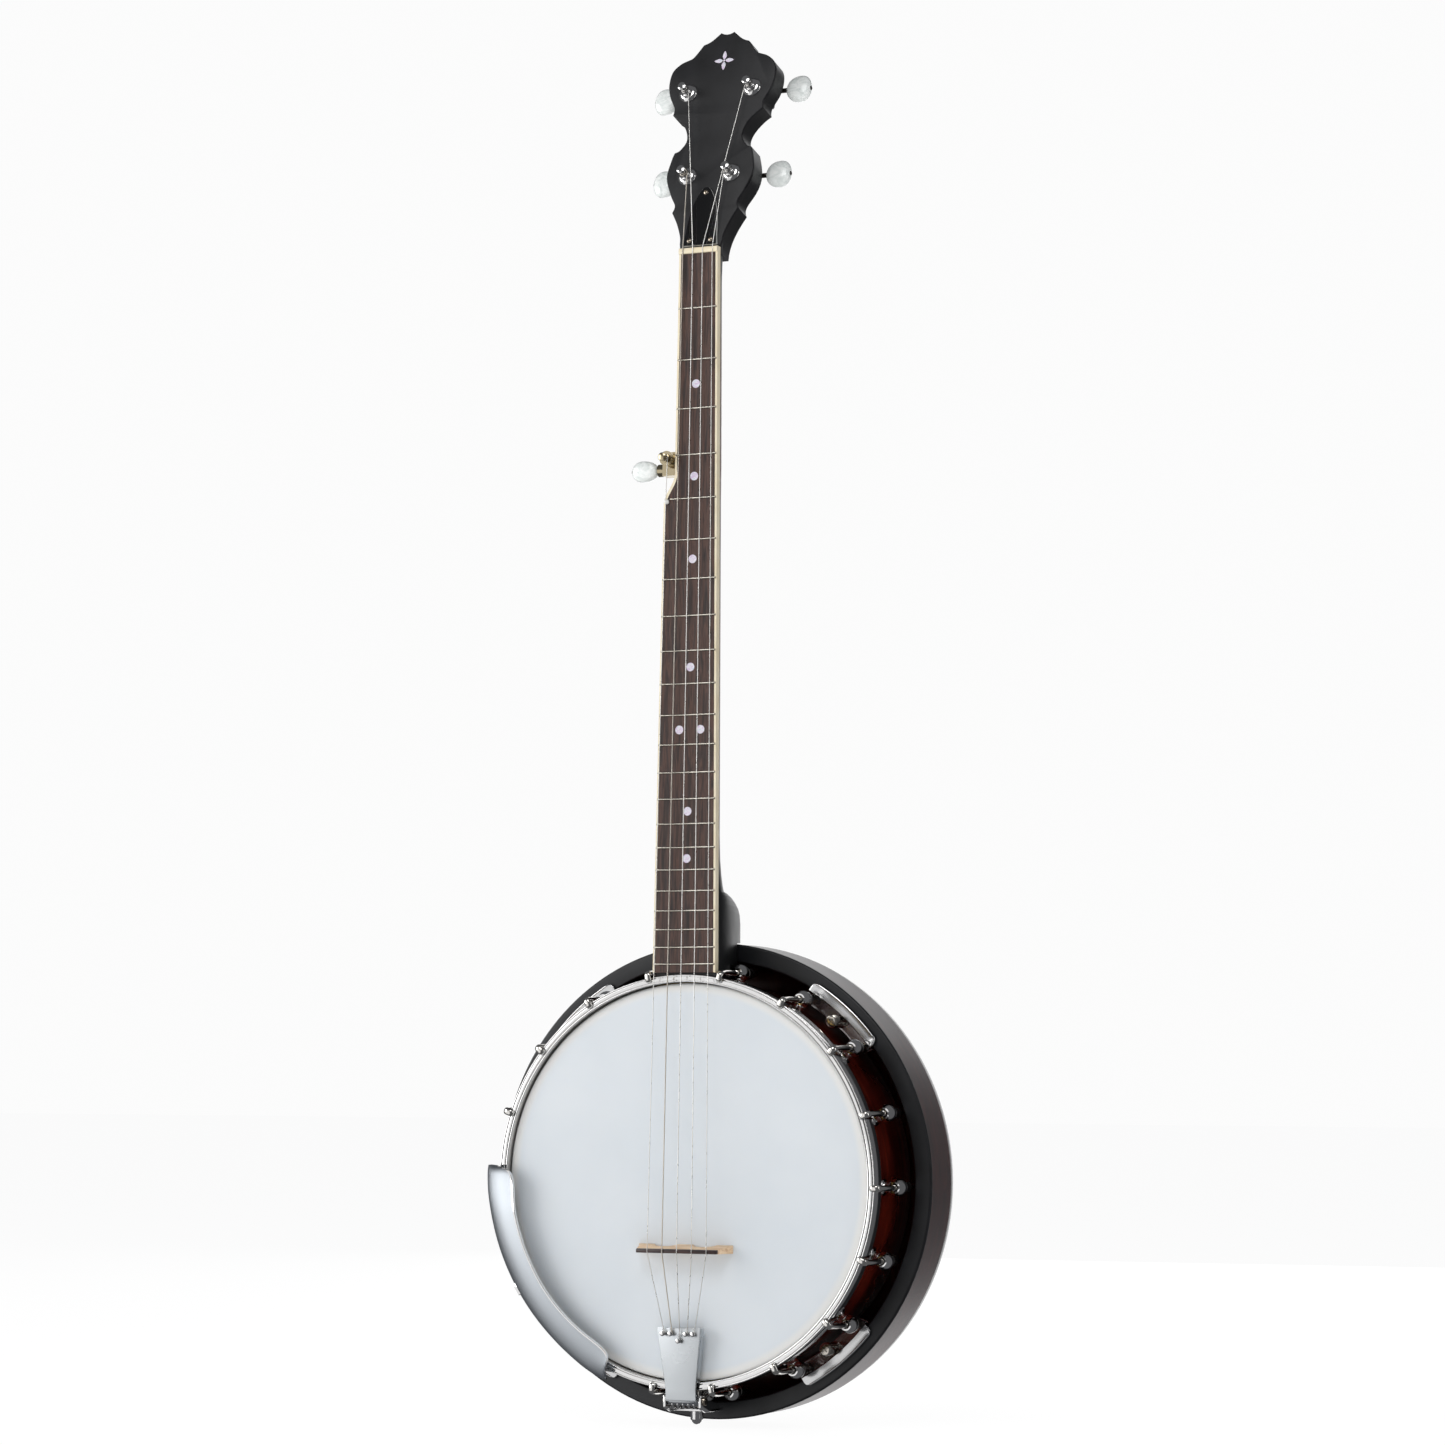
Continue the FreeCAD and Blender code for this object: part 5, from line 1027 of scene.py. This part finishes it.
set_down("hinge_pin", turned_about(pin, "Y", 90, hinge), POT, screw_nickel,
         ["tailpiece_pin"])
acorn = lathe([(0, 0), (4.2, 0), (4.4, 0.3), (4.4, 5.8), (4.0, 6.3), (3.6, 6.5), (3.3, 7.4), (2.2, 8.7),
               (0.9, 9.3), (0, 9.4)], 24, closed=False)
for vert in acorn.verts:
    if 0.2 < vert.co.z < 5.9 and vert.co.xy.length > 4.3:
        # Every second line of points is drawn in, which makes the flutes.
        if round(math.atan2(vert.co.y, vert.co.x) / math.tau * 24) % 2:
            vert.co.xy *= 0.93
set_down("acorn_nut", turned_about(acorn, "X", 90, (0, -155.5, 80)), POT, chrome, ["tailpiece_nut"],
         crease=25)

# ---------------------------------------------------------------- armrest
# A pressed and satin-plated cover that curves over the hoop where the player's arm lies, with a polished
# bevel along its inner edge. Two sheet-metal legs reach back from it and clamp to the hooks' shoes.
rest_satin = plated("rest_satin", (186, 191, 196), 0.36, 0.46, 12)
# Angle round the pot, then the radius of the inner and of the outer edge there.
REST = [(-86.4, 138.0, 149.2), (-87.6, 129.6, 149.6), (-90, 126.6, 149.6), (-94, 125.8, 149.3),
        (-99.6, 126.3, 148.5), (-107, 125.9, 147.8), (-116.5, 125.5, 147.0), (-126.8, 125.4, 146.4),
        (-136, 125.3, 146.2), (-144, 125.3, 146.6), (-150.5, 125.6, 147.4), (-154.2, 127.2, 147.6),
        (-156.2, 130.6, 147.4), (-157.0, 138.5, 146.6)]
stations = smooth_line([(a, inner, outer) for a, inner, outer in REST], 5)


def rest_edges(angle):
    """The cover's inner and outer radius at an angle."""
    for before, after in zip(stations, stations[1:]):
        if angle >= after[0]:
            return before.lerp(after, min(max((before[0] - angle) / (before[0] - after[0]), 0), 1))
    return stations[-1]


# Across the cover: a polished bevel of fixed width, then a fall to the outer edge, which takes up the
# rest of the width. Distances are for the widest place, and the bevel is the part before flat_start.
flat_start, widest = 1.7, 23.0
REST_LINE = [(0, 109.9), (0.25, 111.0), (0.7, 111.6), (flat_start, 111.4), (5.5, 110.9), (9.7, 110.2),
             (13.8, 109.1), (17.5, 107.8), (20.2, 106.6), (21.9, 105.6), (widest, 104.5), (widest, 102.4)]
rest = bmesh.new()
line = [rest.verts.new((100 + across, 0, height)) for across, height in REST_LINE]
line += [rest.edges.new(pair) for pair in zip(line, line[1:])]
first, last = stations[0][0], stations[-1][0]
bmesh.ops.spin(rest, geom=line, cent=(0, 0, 0), axis=(0, 0, 1), dvec=(0, 0, 0),
               angle=math.radians(first - last), steps=140)
bmesh.ops.remove_doubles(rest, verts=rest.verts, dist=1e-4)
for vert in rest.verts:
    angle = first - math.degrees(math.atan2(vert.co.y, vert.co.x))
    across = vert.co.xy.length - 100
    inner, outer = rest_edges(angle)[1:]
    fall = max(across - flat_start, 0) / (widest - flat_start)
    out = inner + min(across, flat_start) + fall * (outer - inner - flat_start)
    vert.co.xy = (out * math.sin(math.radians(angle)), out * math.cos(math.radians(angle)))
bmesh.ops.recalc_face_normals(rest, faces=rest.faces)
if sum(f.normal.z for f in rest.faces) < 0:
    bmesh.ops.reverse_faces(rest, faces=rest.faces)
bmesh.ops.solidify(rest, geom=rest.faces, thickness=1.1)
rest_piece = set_down("armrest_cover", rest, POT, rest_satin, ["armrest"], crease=50)
rest_piece.data.materials.append(chrome)
for face in rest_piece.data.polygons:
    radius = math.hypot(face.center.x, face.center.z) * 1000
    angle = math.degrees(math.atan2(face.center.x, face.center.z))
    if radius < rest_edges(angle)[1] + flat_start - 0.3:
        face.material_index = 1
leg = gather(*[block(size, middle, 0.45) for size, middle in (
    ((9, 2, 42), (0, 146.8, 83)), ((9, 14, 2), (0, 140.8, 63)), ((9, 8, 1.6), (0, 143.8, 104.5)))])
legs = repeat(leg, [around(angle) for angle in (-101, -121)])
set_down("armrest_legs", legs, POT, chrome, ["armrest_clamps"])
